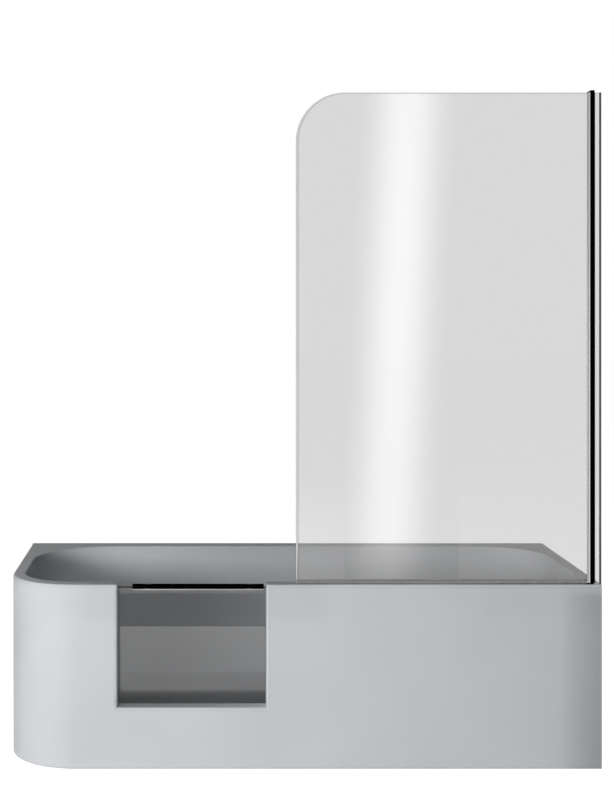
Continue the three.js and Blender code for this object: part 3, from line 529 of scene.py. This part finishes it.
def tubBasin():
    # The basin below the rim's inner edge, as a shown face and a hidden one a wall behind it:
    # level plans down the wall, a quarter round at the floor, and the floor drawn to the waste.
    top, slab, inner, fillet = tub["rimTop"], tub["slab"], tub["innerSoft"], tub["floorFillet"]
    crease, foot = tub["crease"], tub["foot"]
    sill = tub["sill"] - inner
    zs = [top - inner] + tub["jambRows"] + [sill] + tub["lowRows"]

    def insetAt(z):
        upper, lower = (noInset, crease) if z >= crease["z"] else (crease, foot)
        start = top - inner if z >= crease["z"] else crease["z"]
        end = crease["z"] if z >= crease["z"] else foot["z"]
        share = np.clip((start - z) / (start - end), 0, 1)
        return {side: lerp(upper[side], lower[side], share) for side in noInset}

    def level(inset, wall, drawn=0.0):
        d = slab if wall else inner
        ends = (tub["doorLeft"] - d, tub["doorRight"] + d)
        plan = basinPlan(inset, drawn - (slab if wall else 0.0), ends)
        floorXs = np.stack([sillXs, np.full(len(sillXs), plan[0, 1])], -1)
        return np.concatenate([plan, floorXs])

    def rowsOf(wall):
        rows = []
        for z in zs:
            shownZ = z
            if wall:
                under = top - slab
                lowered = {top - inner: under, zs[1]: under - tub["hiddenStep"], sill: tub["sill"] - slab}
                shownZ = lowered.get(z, z)
            rows.append(raised(level(insetAt(z), wall), shownZ))
        turn = fillet + (slab if wall else 0)
        for angle in np.linspace(0, math.pi / 2, 9):
            drawn = (fillet - turn * math.cos(angle)) + (slab if wall else 0)
            rows.append(raised(level(foot, wall, drawn), foot["z"] - turn * math.sin(angle)))
        lowest = rows[-1]
        centre = np.array(tub["waste"])
        toward = np.arctan2(lowest[:, 1] - centre[1], lowest[:, 0] - centre[0])
        ring = np.stack([np.cos(toward), np.sin(toward)], -1)
        rows.append(raised(lerp(lowest[:, :2], centre, tub["floorStep"]), lowest[0, 2]))
        for radius in (tub["wasteFlat"], tub["wasteRadius"]):
            rows.append(raised(centre + ring * radius, lowest[0, 2]))
        return np.array(rows)

    shown, hidden = rowsOf(False), rowsOf(True)
    rows, cols = shown.shape[:2]
    stacked = np.concatenate([shown, hidden[::-1]])
    faces = gridFaces(2 * rows, cols, closeCols=True)
    r, c = np.divmod(np.arange(len(faces)), cols)
    sillRow = zs.index(sill)
    inDoor = c >= cols - len(sillXs) - 1
    above = (r < sillRow) | (r >= 2 * rows - 1 - sillRow)
    return stacked, faces[~(inDoor & above)]


def cylinder(axis, centre, radius, start, end, sides=48):
    # rings about an axis through centre, closed by a flat face at each end
    turn = np.linspace(0, 2 * math.pi, sides, endpoint=False)
    ring = np.zeros((2, sides, 3))
    others = [i for i in range(3) if i != axis]
    ring[:, :, others[0]] = centre[0] + radius * np.cos(turn)
    ring[:, :, others[1]] = centre[1] + radius * np.sin(turn)
    ring[:, :, axis] = np.array([start, end])[:, None]
    faces = gridFaces(2, sides, closeCols=True).tolist()
    faces += [list(range(sides)), list(range(2 * sides - 1, sides - 1, -1))]
    return ring, faces


def settle(piece, sharp=32.0):
    # the modifiers' result becomes the piece's own mesh
    bpy.context.view_layer.update()
    graph = bpy.context.evaluated_depsgraph_get()
    settled = bpy.data.meshes.new_from_object(piece.evaluated_get(graph))
    piece.modifiers.clear()
    piece.data = settled
    settled.set_sharp_from_angle(angle=math.radians(sharp))


def cutHoles(piece, cutters):
    # each cutter is taken away from the piece, and the result becomes its own mesh
    made = []
    for points, faces in cutters:
        mesh = bpy.data.meshes.new("cutter")
        mesh.from_pydata((points.reshape(-1, 3) / 1000).tolist(), [], [list(map(int, f)) for f in faces])
        work = bmesh.new()
        work.from_mesh(mesh)
        bmesh.ops.recalc_face_normals(work, faces=work.faces)
        work.to_mesh(mesh)
        work.free()
        cutter = bpy.data.objects.new("cutter", mesh)
        bpy.context.scene.collection.objects.link(cutter)
        cut = piece.modifiers.new("hole", "BOOLEAN")
        cut.operation, cut.solver, cut.object = "DIFFERENCE", "EXACT", cutter
        made.append(cutter)
    settle(piece, 30.0)
    for cutter in made:
        bpy.data.objects.remove(cutter)


# each hole's middle, radius, two ends along x and number of sides
holes = {
    "overflow": ((-32.5, rimTop - 97), 24.0, 800.0, 830.0, 48),
    "keeper": ((-337.0, rimTop - 13), 5.6, -110.0, -95.0, 32),
}
tubShell = addPiece("tubShell", [tubBand(), tubBasin()], "tub", "bath", ["bath_shell"], 30.0)
cutHoles(tubShell, [cylinder(0, *hole) for hole in holes.values()])
print("tub shell made:", len(tubShell.data.polygons), "faces")

# outer panel

panel = {
    "top": rimTop - 8.3,
    "foot": 3.0,
    "wall": 6.0,
    "fold": 18.0,
    "footSoft": 7.0,
    "notch": (-540.3, -98.2, 170.7),  # left, right and bottom of the cut round the doorway
    "columns": (12, 8, 6),  # right of the doorway, under it and left of it
    "upperLevels": (515, 420, 300),  # between the panel's top and the cut's bottom
    "lowerLevels": (100, 40),
}


def panelSurface():
    # the tub's outer plan from the right wall round the corner to the back wall, run down to
    # the foot, turned in through a quarter round and on as a level fold
    left, right, base = panel["notch"]
    front, turn = tub["front"], tub["cornerRadius"]
    onRight, under, onLeft = panel["columns"]
    rightRun = np.linspace(tub["right"], right, onRight)
    underRun = np.linspace(right, left, under)[1:]
    leftRun = np.linspace(left, tub["left"] + turn, onLeft)[1:-1]
    xs = np.concatenate([rightRun, underRun, leftRun])
    angles = np.linspace(1.5 * math.pi, math.pi, 49)
    ys = np.linspace(front + turn, tub["back"], 9)[1:]

    def plan(drawn):
        straight = np.stack([xs, np.full(len(xs), front + drawn)], -1)
        around = np.stack([np.cos(angles), np.sin(angles)], -1)
        arc = np.array([tub["left"] + turn, front + turn]) + (turn - drawn) * around
        side = np.stack([np.full(len(ys), tub["left"] + drawn), ys], -1)
        return np.concatenate([straight, arc, side])

    soft, foot = panel["footSoft"], panel["foot"]
    straightDown = (panel["top"], *panel["upperLevels"], base, *panel["lowerLevels"], foot + soft + 1)
    levels = [(0.0, z) for z in straightDown]
    for a in np.linspace(0, math.pi / 2, 7):
        levels.append((soft * (1 - math.cos(a)), foot + soft * (1 - math.sin(a))))
    levels += [(panel["fold"], foot)]
    points = np.array([raised(plan(drawn), z) for drawn, z in levels])
    cols = points.shape[1]
    faces = gridFaces(len(levels), cols)
    r, c = np.divmod(np.arange(len(faces)), cols - 1)
    inNotch = (r <= len(panel["upperLevels"])) & (c >= onRight - 1) & (c < onRight + under - 2)
    return points, faces[~inNotch]


frontPanel = addPiece("outerPanel", [panelSurface()], "panel", "bath", ["apron_panel"], 40.0, outwards=False)
wallOf = frontPanel.modifiers.new("wall", "SOLIDIFY")
wallOf.thickness, wallOf.offset, wallOf.use_even_offset = panel["wall"] / 1000, -1.0, True
settle(frontPanel)
print("outer panel made")

# door and latch


def corneredLoop(halfA, halfB, turn, inset=0.0, middle=(0.0, 0.0)):
    # a rectangle with round corners, anticlockwise, drawn in by inset
    a, b, turn = halfA - inset, halfB - inset, max(turn - inset, 0.1)
    angles = np.linspace(0, math.pi / 2, 8)
    corners = [(a - turn, b - turn), (turn - a, b - turn), (turn - a, turn - b), (a - turn, turn - b)]
    arcs = []
    for corner, start in zip(np.array(corners), np.arange(4) * math.pi / 2):
        arcs.append(corner + turn * np.stack([np.cos(angles + start), np.sin(angles + start)], -1))
    return np.concatenate(arcs) + np.array(middle)


def ringLoop(radius, middle, count=32):
    turn = (np.arange(count) + 0.5) / count * 2 * math.pi
    return np.array(middle) + radius * np.stack([np.cos(turn), np.sin(turn)], -1)


def loft(axis, sections, hollow=False):
    # sections are (place, loop) or (place, loop, polish and painted shade); flat faces close both ends,
    # or the last section joins the first
    loops = np.array([section[1] for section in sections])
    rows, count = loops.shape[:2]
    points = np.zeros((rows, count, 3))
    points[:, :, [i for i in range(3) if i != axis]] = loops
    points[:, :, axis] = np.array([section[0] for section in sections])[:, None]
    faces = gridFaces(rows, count, closeRows=hollow, closeCols=True).tolist()
    if not hollow:
        faces += [list(range(count)), list(range(rows * count - 1, (rows - 1) * count - 1, -1))]
    shadeAndPolish = np.repeat([section[2] if len(section) > 2 else 0.0 for section in sections], count)
    return points, faces, shadeAndPolish


def mirroredLoft(low, high, at, rows):
    # a pane from its front to its back; rows hold the depth, inset and painted edge shade of either half
    sections = [(low[1] + depth, at(inset), shadeAndPolish) for depth, inset, shadeAndPolish in rows]
    sections += [(high[1] - depth, at(inset), shadeAndPolish) for depth, inset, shadeAndPolish in rows[::-1]]
    return loft(1, sections)


def soften(piece, width, segments=3):
    # every sharp edge is bevelled, and the result becomes the mesh
    bevel = piece.modifiers.new("bevel", "BEVEL")
    bevel.width, bevel.segments, bevel.limit_method = width / 1000, segments, "ANGLE"
    bevel.angle_limit = math.radians(35)
    bevel.harden_normals = True
    settle(piece, 40.0)


def middleOf(name):
    low, high = nodeBox(name)
    return (low + high) / 2


latch = {
    "cornerRadius": 2.5,
    "neckRadius": 4.5,
    "neckHalf": 8.0,
    "boreRadius": 2.9,
    "boreDepth": 26.3,
    "railWall": 2.6,
    "bodyHalf": 6.9,
    "bodyLift": 0.9,  # the bar's body stands this much above the axis it turns about
    "railTurn": 1.0,
}


def latchBarParts():
    # a rounded bar with two round necks for the carriers and a bore in its right end
    low, high = nodeBox("latch_bar")
    middle, half = ((low + high) / 2)[1:], (high[1] - low[1]) / 2
    lifted = middle + [0, latch["bodyLift"]]
    body = corneredLoop(half, latch["bodyHalf"], latch["cornerRadius"], 0.0, lifted)
    neck = ringLoop(latch["neckRadius"], middle)
    sections = [(low[0], body)]
    for number in (1, 2):
        at = middleOf(f"latch_carrier_{number}")[0]
        start, end = at - latch["neckHalf"], at + latch["neckHalf"]
        sections += [(start, body), (start, neck), (end, neck), (end, body)]
    bore = ringLoop(latch["boreRadius"], middle)
    sections += [(high[0], body), (high[0], bore), (high[0] - latch["boreDepth"], bore)]
    return loft(0, sections)


def latchRailParts():
    # a channel turned over the pane's top edge
    low, high = nodeBox("latch_rail")
    y0, y1, z1 = low[1], high[1], high[2]
    z0, wall, turn = low[2], latch["railWall"], latch["railTurn"]
    arc = np.linspace(math.pi, math.pi / 2, 5)
    left = np.stack([y0 + turn + turn * np.cos(arc), z1 - turn + turn * np.sin(arc)], -1)
    right = left[::-1] * [-1, 1] + [y0 + y1, 0]
    inside = [[y1, z0], [y1 - wall, z0], [y1 - wall, z1 - wall]]
    inside += [[y0 + wall, z1 - wall], [y0 + wall, z0], [y0, z0]]
    loop = np.concatenate([left, right, inside])
    return loft(0, [(low[0], loop), (high[0], loop)])


pane = {"corner": 3.0, "pencil": 0.8, "bendShare": 0.3, "band": 2.3, "fade": 0.4}


def doorPaneParts():
    # a flat pane with rounded edges; a dark band of painted shade lies along them, and the tint fades in from
    # it
    low, high = nodeBox("door_glass")
    half, middle = (high - low)[[0, 2]] / 2, ((low + high) / 2)[[0, 2]]

    def at(inset):
        return corneredLoop(half[0], half[1], pane["corner"], inset, middle)

    soft, band = pane["pencil"], pane["band"]
    bend = soft * pane["bendShare"]
    # band and fade: the width of the painted shade along the edge and of its fade into the tint
    rows = [(0.0, band + pane["fade"], 0.0), (0.0, band, 1.0), (0.0, soft, 1.0)]
    rows += [(bend, bend, 1.0), (soft, 0.0, 1.0)]
    return mirroredLoft(low, high, at, rows)


seal = {"leg": 10.0, "foot": 10.0, "lip": 0.7, "lipDepth": 0.7}


def doorSealParts():
    # a flat profile round three sides of the pane, its inner edge thinned to a lip
    low, high = nodeBox("door_seal")
    leg, foot = seal["leg"], seal["foot"]
    outer = np.array([[low[0], high[2]], [low[0], low[2]], [high[0], low[2]], [high[0], high[2]]])

    def loopAt(inset):
        x0, x1, z0 = low[0] + leg - inset, high[0] - leg + inset, low[2] + foot - inset
        return np.concatenate([outer, [[x1, high[2]], [x1, z0], [x0, z0], [x0, high[2]]]])

    flat = low[1] + seal["lipDepth"]
    return loft(1, [(low[1], loopAt(seal["lip"])), (flat, loopAt(0.0)), (high[1], loopAt(0.0))])


latchBar = addPiece("latchBar", [latchBarParts()], "black", "latch", ["latch_bar"])
soften(latchBar, 0.6)
latchRail = addPiece("latchRail", [latchRailParts()], "latchRail", "door", ["latch_rail"])
soften(latchRail, 0.4)
doorPane = addPiece("doorPane", [doorPaneParts()], "door", "door", ["door_glass"], 50.0)
doorSeal = addPiece("doorSeal", [doorSealParts()], "seal", "bath", ["door_seal"])
soften(doorSeal, 0.3, 2)
print("door and latch made")

# screen

screen = {
    "corner": 140.0,
    "pencil": 1.0,
    "bendShare": 0.3,
    "insets": (0.0, 5.4, 6.2, 8.0, 8.6),  # edge, end of the band of painted shade along the ground edge, painted dark line, its end, clear glass
    "shadeAndPolish": (0.45, 0.45, 1.0, 1.0, 0.0),
    "topShare": 0.55,  # the same bands are narrower along the top
}


def screenPaneParts():
    # a pane with one large round corner; bands of painted shade darken it along its ground edge
    low, high = nodeBox("screen_glass")
    corner, share = screen["corner"], screen["topShare"]
    turn = np.linspace(math.pi / 2, math.pi, 49)

    def at(inset):
        wide, tall = corner - inset, corner - inset * share
        arc = np.stack([low[0] + corner + wide * np.cos(turn), high[2] - corner + tall * np.sin(turn)], -1)
        clamped = high[0] - min(inset, screen["pencil"])
        foot, head = low[2] + inset, high[2] - inset * share
        return np.concatenate([arc, [[low[0] + inset, foot], [clamped, foot], [clamped, head]]])

    bands = list(zip(screen["insets"], screen["shadeAndPolish"]))
    soft, edge = screen["pencil"], bands[0][1]
    bend = soft * screen["bendShare"]
    rows = [(0.0, inset, shadeAndPolish) for inset, shadeAndPolish in bands[:0:-1]]
    rows += [(0.0, soft, edge), (bend, bend, edge), (soft, 0.0, edge)]
    return mirroredLoft(low, high, at, rows)


strip = {
    "corner": 1.2,
    "depths": (0.0, 0.0, 0.0, 0.2, 0.6),
    "insets": (1.6, 1.2, 0.6, 0.2, 0.0),
    "shadeAndPolish": (0.0, 0.6, 0.6, 0.6, 0.6),
}


def stripParts():
    # a narrow pane of its own, between the post and the wall's channel; painted shade darkens its edges
    low, high = nodeBox("fixed_strip")
    half, middle = (high - low)[[0, 2]] / 2, ((low + high) / 2)[[0, 2]]

    def at(inset):
        return corneredLoop(half[0], half[1], strip["corner"], inset, middle)

    return mirroredLoft(low, high, at, list(zip(strip["depths"], strip["insets"], strip["shadeAndPolish"])))


post = {
    "bore": 3.1,
    "grooveDepth": 2.4,
    "grooveHalf": 3.3,
    "lipDepth": 5.2,  # the front right corner is squared, this far before the axis
    "lipTurn": 0.2,  # the squared part starts this angle past the front
    "steps": 62,
}


def postParts():
    # a tube with a flat-bottomed groove towards the fixed strip and a squared lip before it
    low, high = nodeBox("pivot_post")
    radius, half = (high[1] - low[1]) / 2, post["grooveHalf"]
    middle = np.array([low[0] + radius, (low[1] + high[1]) / 2])
    edge = math.asin(half / radius)
    turn = np.linspace(edge, 2 * math.pi - edge, post["steps"])
    circle = np.stack([np.cos(turn), np.sin(turn)], -1)
    deep, lip = radius - post["grooveDepth"], post["lipDepth"]
    tube = circle * radius
    squared = turn > 1.5 * math.pi + post["lipTurn"]
    tube[squared] = tube[squared] * np.minimum(radius / tube[squared][:, :1], lip / -tube[squared][:, 1:])
    outer = np.concatenate([tube, [[deep, -half], [deep, half]]]) + middle
    mouth = np.array([math.cos(edge / 2), math.sin(edge / 2)])
    inner = np.concatenate([circle, [mouth * [1, -1], mouth]]) * post["bore"] + middle
    return loft(2, [(low[2], outer), (high[2], outer), (high[2], inner), (low[2], inner)], hollow=True)


clamp = {
    "wall": 3.2,
    "gap": 0.8,
    "backStep": 3.0,  # the back flange is this much shorter
    "faceDepth": 0.4,  # of the front flange behind the bead
    "nickDepth": 0.9,
    "nick": (3.4, 3.2, 2.8, 2.6),  # its corners, measured back from the bead's end
    "brightWidth": 2.7,
    "slotEnd": 3.2,
}


def clampParts():
    # a channel for the pane's edge; a bright bead stands beside the post
    low, high = nodeBox("screen_clamp")
    x0, x1, y0, y1 = low[0], high[0] - clamp["gap"], low[1], high[1]
    wall, end = clamp["wall"], high[0] - clamp["slotEnd"]
    face, deep = y0 + clamp["faceDepth"], y0 + clamp["nickDepth"]
    xs = [x0, x0, *(x1 - place for place in clamp["nick"]), x1]
    front = np.stack([xs, [y0 + wall, face, face, deep, deep, y0, y0]], -1)
    back = np.stack([np.maximum(front[::-1, 0], x0 + clamp["backStep"]), y0 + y1 - front[::-1, 1]], -1)
    loop = np.concatenate([front, back, [[end, y1 - wall], [end, y0 + wall]]])
    points, faces, _ = loft(2, [(low[2], loop), (high[2], loop)])
    return points, faces, (points[:, :, 0] > x1 - clamp["brightWidth"]).astype(float).reshape(-1)


cap = {
    "gap": 0.3,  # to the post's end
    "lowEnd": 0.8,  # thickness at the clamp's far side
    "taper": (0.6, 0.2),  # how much narrower it is there and on its slope
    "slope": (1.5, 1.0),  # from before the clamp's end to past it
    "slopeShare": 0.7,
    "soft": 0.6,
    "pinRadius": 2.8,
    "pinInside": 1.0,
}


def capParts():
    # from the clamp up to the post's end and round it, with the pin that turns in the post
    low, high = nodeBox("screen_arm_top")
    face, axisY = nodeBox("pivot_post")[1][2] + cap["gap"], middleOf("pivot_post")[1]
    radius, full = (high[1] - low[1]) / 2, high[2] - face
    centre = high[0] - radius
    clampEnd = nodeBox("screen_clamp")[1][0]
    rows = [(low[0], radius - cap["taper"][0], cap["lowEnd"])]
    rows += [(clampEnd - cap["slope"][0], radius - cap["taper"][1], full * cap["slopeShare"])]
    rows += [(clampEnd + cap["slope"][1], radius, full), (centre, radius, full)]
    rows += [(centre + radius * math.sin(a), radius * math.cos(a), full) for a in np.linspace(0.2, 1.5, 9)]
    sections = []
    for x, wide, thick in rows:
        soft = min(cap["soft"], thick * 0.3, wide * 0.5)
        sections.append((x, corneredLoop(wide, thick / 2, soft, 0.0, (axisY, face + thick / 2))))
    pin = cylinder(2, (centre, axisY), cap["pinRadius"], low[2], face + cap["pinInside"], 32)
    return [loft(0, sections), pin]


wiper = {
    "base": 2.1,  # heights above its foot: the channel's underside and the pane's seat
    "seat": 3.7,
    "hug": 3.3,  # half of the width between the flanges
    "bead": 0.7,
    "beadDrops": (1.2, 2.0),
    "lip": [(-2.2, 2.1), (-4.4, 0.5), (-4.0, 0.0), (-3.2, 0.0), (-0.9, 2.1)],
}


def wiperParts():
    # a clear channel under the pane; its lip leans towards the rim's front edge and is painted darker, as
    # shade where the screen meets the rim
    low, high = nodeBox("screen_wiper")
    z0, z1, hug = low[2], high[2], wiper["hug"]
    base, seat = z0 + wiper["base"], z0 + wiper["seat"]
    wide = (high[1] - low[1]) / 2 - wiper["bead"]
    bead = wide + wiper["bead"]
    under, past = (z1 - drop for drop in wiper["beadDrops"])
    loop = [[bead, z1], [hug, z1], [hug, seat], [-hug, seat], [-hug, z1], [-bead, z1], [-bead, under]]
    loop += [[-wide, past], [-wide, base], *([y, z0 + z] for y, z in wiper["lip"])]
    loop += [[wide, base], [wide, past], [bead, under]]
    loop = np.array(loop) + [(low[1] + high[1]) / 2, 0.0]
    points, faces, _ = loft(0, [(low[0], loop), (high[0], loop)])
    # painted shade: the lip below the channel's underside takes the seal's dark edge colour
    dark = np.where(points[:, :, 2] < base + 0.1, 1.0, 0.0)
    return points, faces, dark.reshape(-1)


channel = {"flange": 1.5, "web": 1.2}


def channelParts():
    # two flanges and a web, open on its left
    low, high = nodeBox("wall_channel")
    x0, x1, y0, y1 = low[0], high[0], low[1], high[1]
    flange, web = channel["flange"], x1 - channel["web"]
    loop = [[x0, y0], [x1, y0], [x1, y1], [x0, y1]]
    loop += [[x0, y1 - flange], [web, y1 - flange], [web, y0 + flange], [x0, y0 + flange]]
    return loft(2, [(low[2], np.array(loop)), (high[2], np.array(loop))])


addPiece("screenPane", [screenPaneParts()], "screen", "screen", ["screen_glass"], 50.0)
addPiece("fixedStrip", [stripParts()], "screen", "bath", ["fixed_strip"], 50.0)
pivotPost = addPiece("pivotPost", [postParts()], "black", "bath", ["pivot_post"])
soften(pivotPost, 0.3)
screenClamp = addPiece("screenClamp", [clampParts()], "aluminium", "screen", ["screen_clamp"])
soften(screenClamp, 0.25)
addPiece("screenCap", capParts(), "black", "screen", ["screen_arm_top"])
screenWiper = addPiece("screenWiper", [wiperParts()], "seal", "screen", ["screen_wiper"])
soften(screenWiper, 0.15, 2)
wallChannel = addPiece("wallChannel", [channelParts()], "channel", "bath", ["wall_channel"])
soften(wallChannel, 0.25, 2)
print("screen made")

# looks of the nodes that stay as they are

nodeLooks = {
    "board": ["base_board"],
    "zinc": ["long_rail", "cross_rail", "foot_stud", "panel_clip", "wall_clip"],
    "rubber": ["foot_pad", "gasket"],
    "chrome": [
        "waste_flange", "waste_plug", "overflow_rosette", "overflow_knob",
        "hinge_pin", "latch_bolt", "latch_keeper",
    ],
    "pipe": ["waste_trap", "waste_outlet", "overflow_body", "overflow_pipe"],
    "sleeve": ["plug_cable"],
    "aluminium": ["door_hinge_rail", "door_hinge_leaf"],
    "black": ["latch_carrier", "screen_arm"],
}
for look, words in nodeLooks.items():
    for name, node in nodes.items():
        if any(word in name for word in words) and not node.hide_render:
            node.data.materials.clear()
            node.data.materials.append(looks[look])

# stage; its places and sizes are in metres

worldLevel = 0.035
ground = {"size": 60.0, "level": 0.8, "glow": 0.965}
tallCard = {
    "place": (0.69, -3.36),
    "half": 0.275,
    "top": 2.35,
    "peak": 2.9,
    "lean": 0.045,
    "middle": 1.6,  # height of its brightest point
    "falloff": 0.11,  # above and below that point
    "foot": (-0.15, 0.2),
}
lowCard = {
    "y": -0.62,
    "flagX": (-0.565, -0.07),
    "flagZ": (0.085, 0.438),
    "light": (-0.5394, 0.1368, 0.3364),  # left, bottom and top of the bright field
    "fade": 0.006,
    "low": 0.66,  # the field's brightness at its bottom, and what it gains up to its top
    "rise": 0.34,
    "level": 2.6,
}
nets = [
    {"x": (-1.6, 0.0), "y": (-0.45, -0.45), "z": (0.545, 0.7), "clear": 0.7},
    {"x": (0.0, 0.42), "y": (-0.45, -0.45), "z": (0.545, 0.7), "clear": 0.9},
    {"x": (0.42, 1.2), "y": (-0.45, -0.45), "z": (0.545, 0.7), "clear": 0.66},
    {"x": (-0.68, -0.03), "y": (-0.46, -0.46), "z": (0.545, 0.7), "clear": 0.66},
    {"x": (0.62, 1.1), "y": (-0.575, -0.575), "z": (0.0, 0.54), "clear": 0.58},
    {"x": (-0.545, -0.12), "y": (-0.385, -0.33), "z": (0.2, 0.2), "clear": 0.0, "fade": (-0.36, -0.1)},
]
openLamps = {
    "key": {"place": (-3.1, -5.3, 1.2), "aim": (-0.1, -0.375, 0.5), "size": (2.0, 0.8), "power": 229.0},
    "top": {"place": (-1.7, -2.1, 2.85), "aim": (0.0, -0.1, 0.3), "size": (0.16, 0.16), "power": 20.0},
}
lowLamps = {  # behind and beside the part, for the sides that the camera can't see
    "back": {"place": (0.2, 2.6, 0.26), "aim": (0.1, 0.3, 0.26), "size": (2.2, 0.42), "power": 40.0},
    "end": {"place": (2.5, 0.75, 0.26), "aim": (0.8, 0.1, 0.26), "size": (2.2, 0.42), "power": 26.0},
}
camera = {"place": (-0.322, -4.755, 1.3419), "lens": 69.1, "sensor": 36.0, "shift": (0.145, -0.125)}


def seenDirectly(start):
    # 1 on rays from the camera, a mirror or a pane
    path = start.tree.nodes.new("ShaderNodeLightPath")
    names = ("Is Camera Ray", "Is Glossy Ray", "Is Transmission Ray")
    seen, glossy, through = (Wire(start.tree, path.outputs[name]) for name in names)
    return seen.reckon("MAXIMUM", seen.reckon("MAXIMUM", seen, glossy), through)


def makeWorld():
    world = bpy.data.worlds.new("softWorld")
    world.use_nodes = True
    world.node_tree.nodes.clear()
    start = Wire(world.node_tree)
    low = start.add("Background", {}, {"Color": grey(1.0), "Strength": worldLevel})
    white = start.add("Background", {}, {"Color": grey(1.0), "Strength": 1.0})
    both = start.add("MixShader", {}, {0: seenDirectly(start), 1: low, 2: white})
    start.add("OutputWorld", {}, {"Surface": both})
    bpy.context.scene.world = world


def sheet(name, x, y, z, look):
    # one flat face; its lower edge takes the first y and z, its upper edge the second
    lower = [(x[0], y[0], z[0]), (x[1], y[0], z[0])]
    upper = [(x[1], y[1], z[1]), (x[0], y[1], z[1])]
    mesh = bpy.data.meshes.new(name)
    mesh.from_pydata(lower + upper, [], [(0, 1, 2, 3)])
    mesh.materials.append(look)
    held = bpy.data.objects.new(name, mesh)
    bpy.context.scene.collection.objects.link(held)
    return held


def placeWires(start):
    # x and z of the point that is shaded
    place = start.add("TexCoord", output="Object")
    return (start.add("SeparateXYZ", {}, {0: place}, axis) for axis in "XZ")


def makeFloor():
    half = ground["size"] / 2
    look, start = startLook("paleFloor")
    matt = start.add("BsdfDiffuse", {}, {"Color": grey(ground["level"])})
    glow = start.add("Emission", {}, {"Color": grey(1.0), "Strength": ground["glow"]})
    seen = start.add("AddShader", {}, {0: matt, 1: glow})
    both = start.add("MixShader", {}, {0: seenDirectly(start), 1: matt, 2: seen})
    floor = sheet("floor", (-half, half), (-half, half), (0, 0), endLook(look, start, both))


def makeCard():
    # a tall strip of soft light that only mirrors and panes show, brightest along its middle
    x, y = tallCard["place"]
    half = tallCard["half"]
    look, start = startLook("cardLight")
    along, upwards = placeWires(start)
    above = upwards - tallCard["middle"]
    across = (along - x - above * tallCard["lean"]) / half
    bell = start.reckon("MAXIMUM", 1 - across * across, 0.0) ** 3.0
    fade = (1.0 - above * above * tallCard["falloff"]) * upwards.clipped(*tallCard["foot"])
    light = start.add("Emission", {}, {"Strength": 1.0 + bell * fade * tallCard["peak"]})
    card = sheet("softCard", (x - half, x + half), (y, y), (0, tallCard["top"]), endLook(look, start, light))
    card.visible_camera = card.visible_diffuse = card.visible_transmission = card.visible_shadow = False


def makeLowCard():
    # a dark card before the door with a bright field: its image fills the lower part of the pane
    y = lowCard["y"]
    left, bottom, top = lowCard["light"]
    look, start = startLook("lowCardLight")
    along, upwards = placeWires(start)
    field = along.reckon("GREATER_THAN", along, left) * upwards.clipped(bottom, bottom + lowCard["fade"])
    field = field * upwards.reckon("LESS_THAN", upwards, top)
    level = (lowCard["low"] + upwards.clipped(bottom, top) * lowCard["rise"]) * field * lowCard["level"]
    light = start.add("Emission", {}, {"Strength": level})
    card = sheet("lowCard", lowCard["flagX"], (y, y), lowCard["flagZ"], endLook(look, start, light))
    card.visible_camera = card.visible_diffuse = card.visible_transmission = card.visible_shadow = False


def makeNets():
    # thin nets before the lamps: they take a share of the light from the basin, the far end and
    # the sill; a net with a fade clears up between the two places along it
    for number, net in enumerate(nets):
        look, start = startLook(f"netCloth{number}")
        colour = grey(net["clear"])
        if "fade" in net:
            along, _ = placeWires(start)
            colour = along.clipped(*net["fade"]).blend(colour, grey(1.0))
        cloth = start.add("BsdfTransparent", {}, {"Color": colour})
        held = sheet(f"net{number}", net["x"], net["y"], net["z"], endLook(look, start, cloth))
        held.visible_camera = held.visible_diffuse = held.visible_glossy = held.visible_transmission = False


def makeLamp(name, values, lit=None):
    # a soft rectangular lamp; where lit is given, it lights nothing else
    lamp = bpy.data.lights.new(name, "AREA")
    lamp.shape, lamp.energy = "RECTANGLE", values["power"]
    lamp.size, lamp.size_y = values["size"]
    held = bpy.data.objects.new(name, lamp)
    bpy.context.scene.collection.objects.link(held)
    held.location = values["place"]
    held.rotation_mode = "QUATERNION"
    towards = Vector(values["aim"]) - Vector(values["place"])
    held.rotation_quaternion = towards.to_track_quat("-Z", "Y")
    held.visible_camera = held.visible_glossy = held.visible_transmission = False
    if lit:
        held.light_linking.receiver_collection = lit


def makeCamera():
    view = bpy.data.cameras.new("camera")
    view.lens, view.sensor_width, view.sensor_fit = camera["lens"], camera["sensor"], "AUTO"
    view.shift_x, view.shift_y = camera["shift"]
    held = bpy.data.objects.new("camera", view)
    bpy.context.scene.collection.objects.link(held)
    held.location = camera["place"]
    held.rotation_euler = (math.radians(90), 0, 0)
    bpy.context.scene.camera = held


litByLow = bpy.data.collections.new("litByLow")
for piece in [tubShell, frontPanel] + [node for node in nodes.values() if not node.hide_render]:
    litByLow.objects.link(piece)
makeWorld()
makeFloor()
makeCard()
makeLowCard()
makeNets()
for name, values in openLamps.items():
    makeLamp(name, values)
for name, values in lowLamps.items():
    makeLamp(name, values, litByLow)
makeCamera()
bpy.context.scene.view_settings.view_transform = "Standard"
print("stage made")
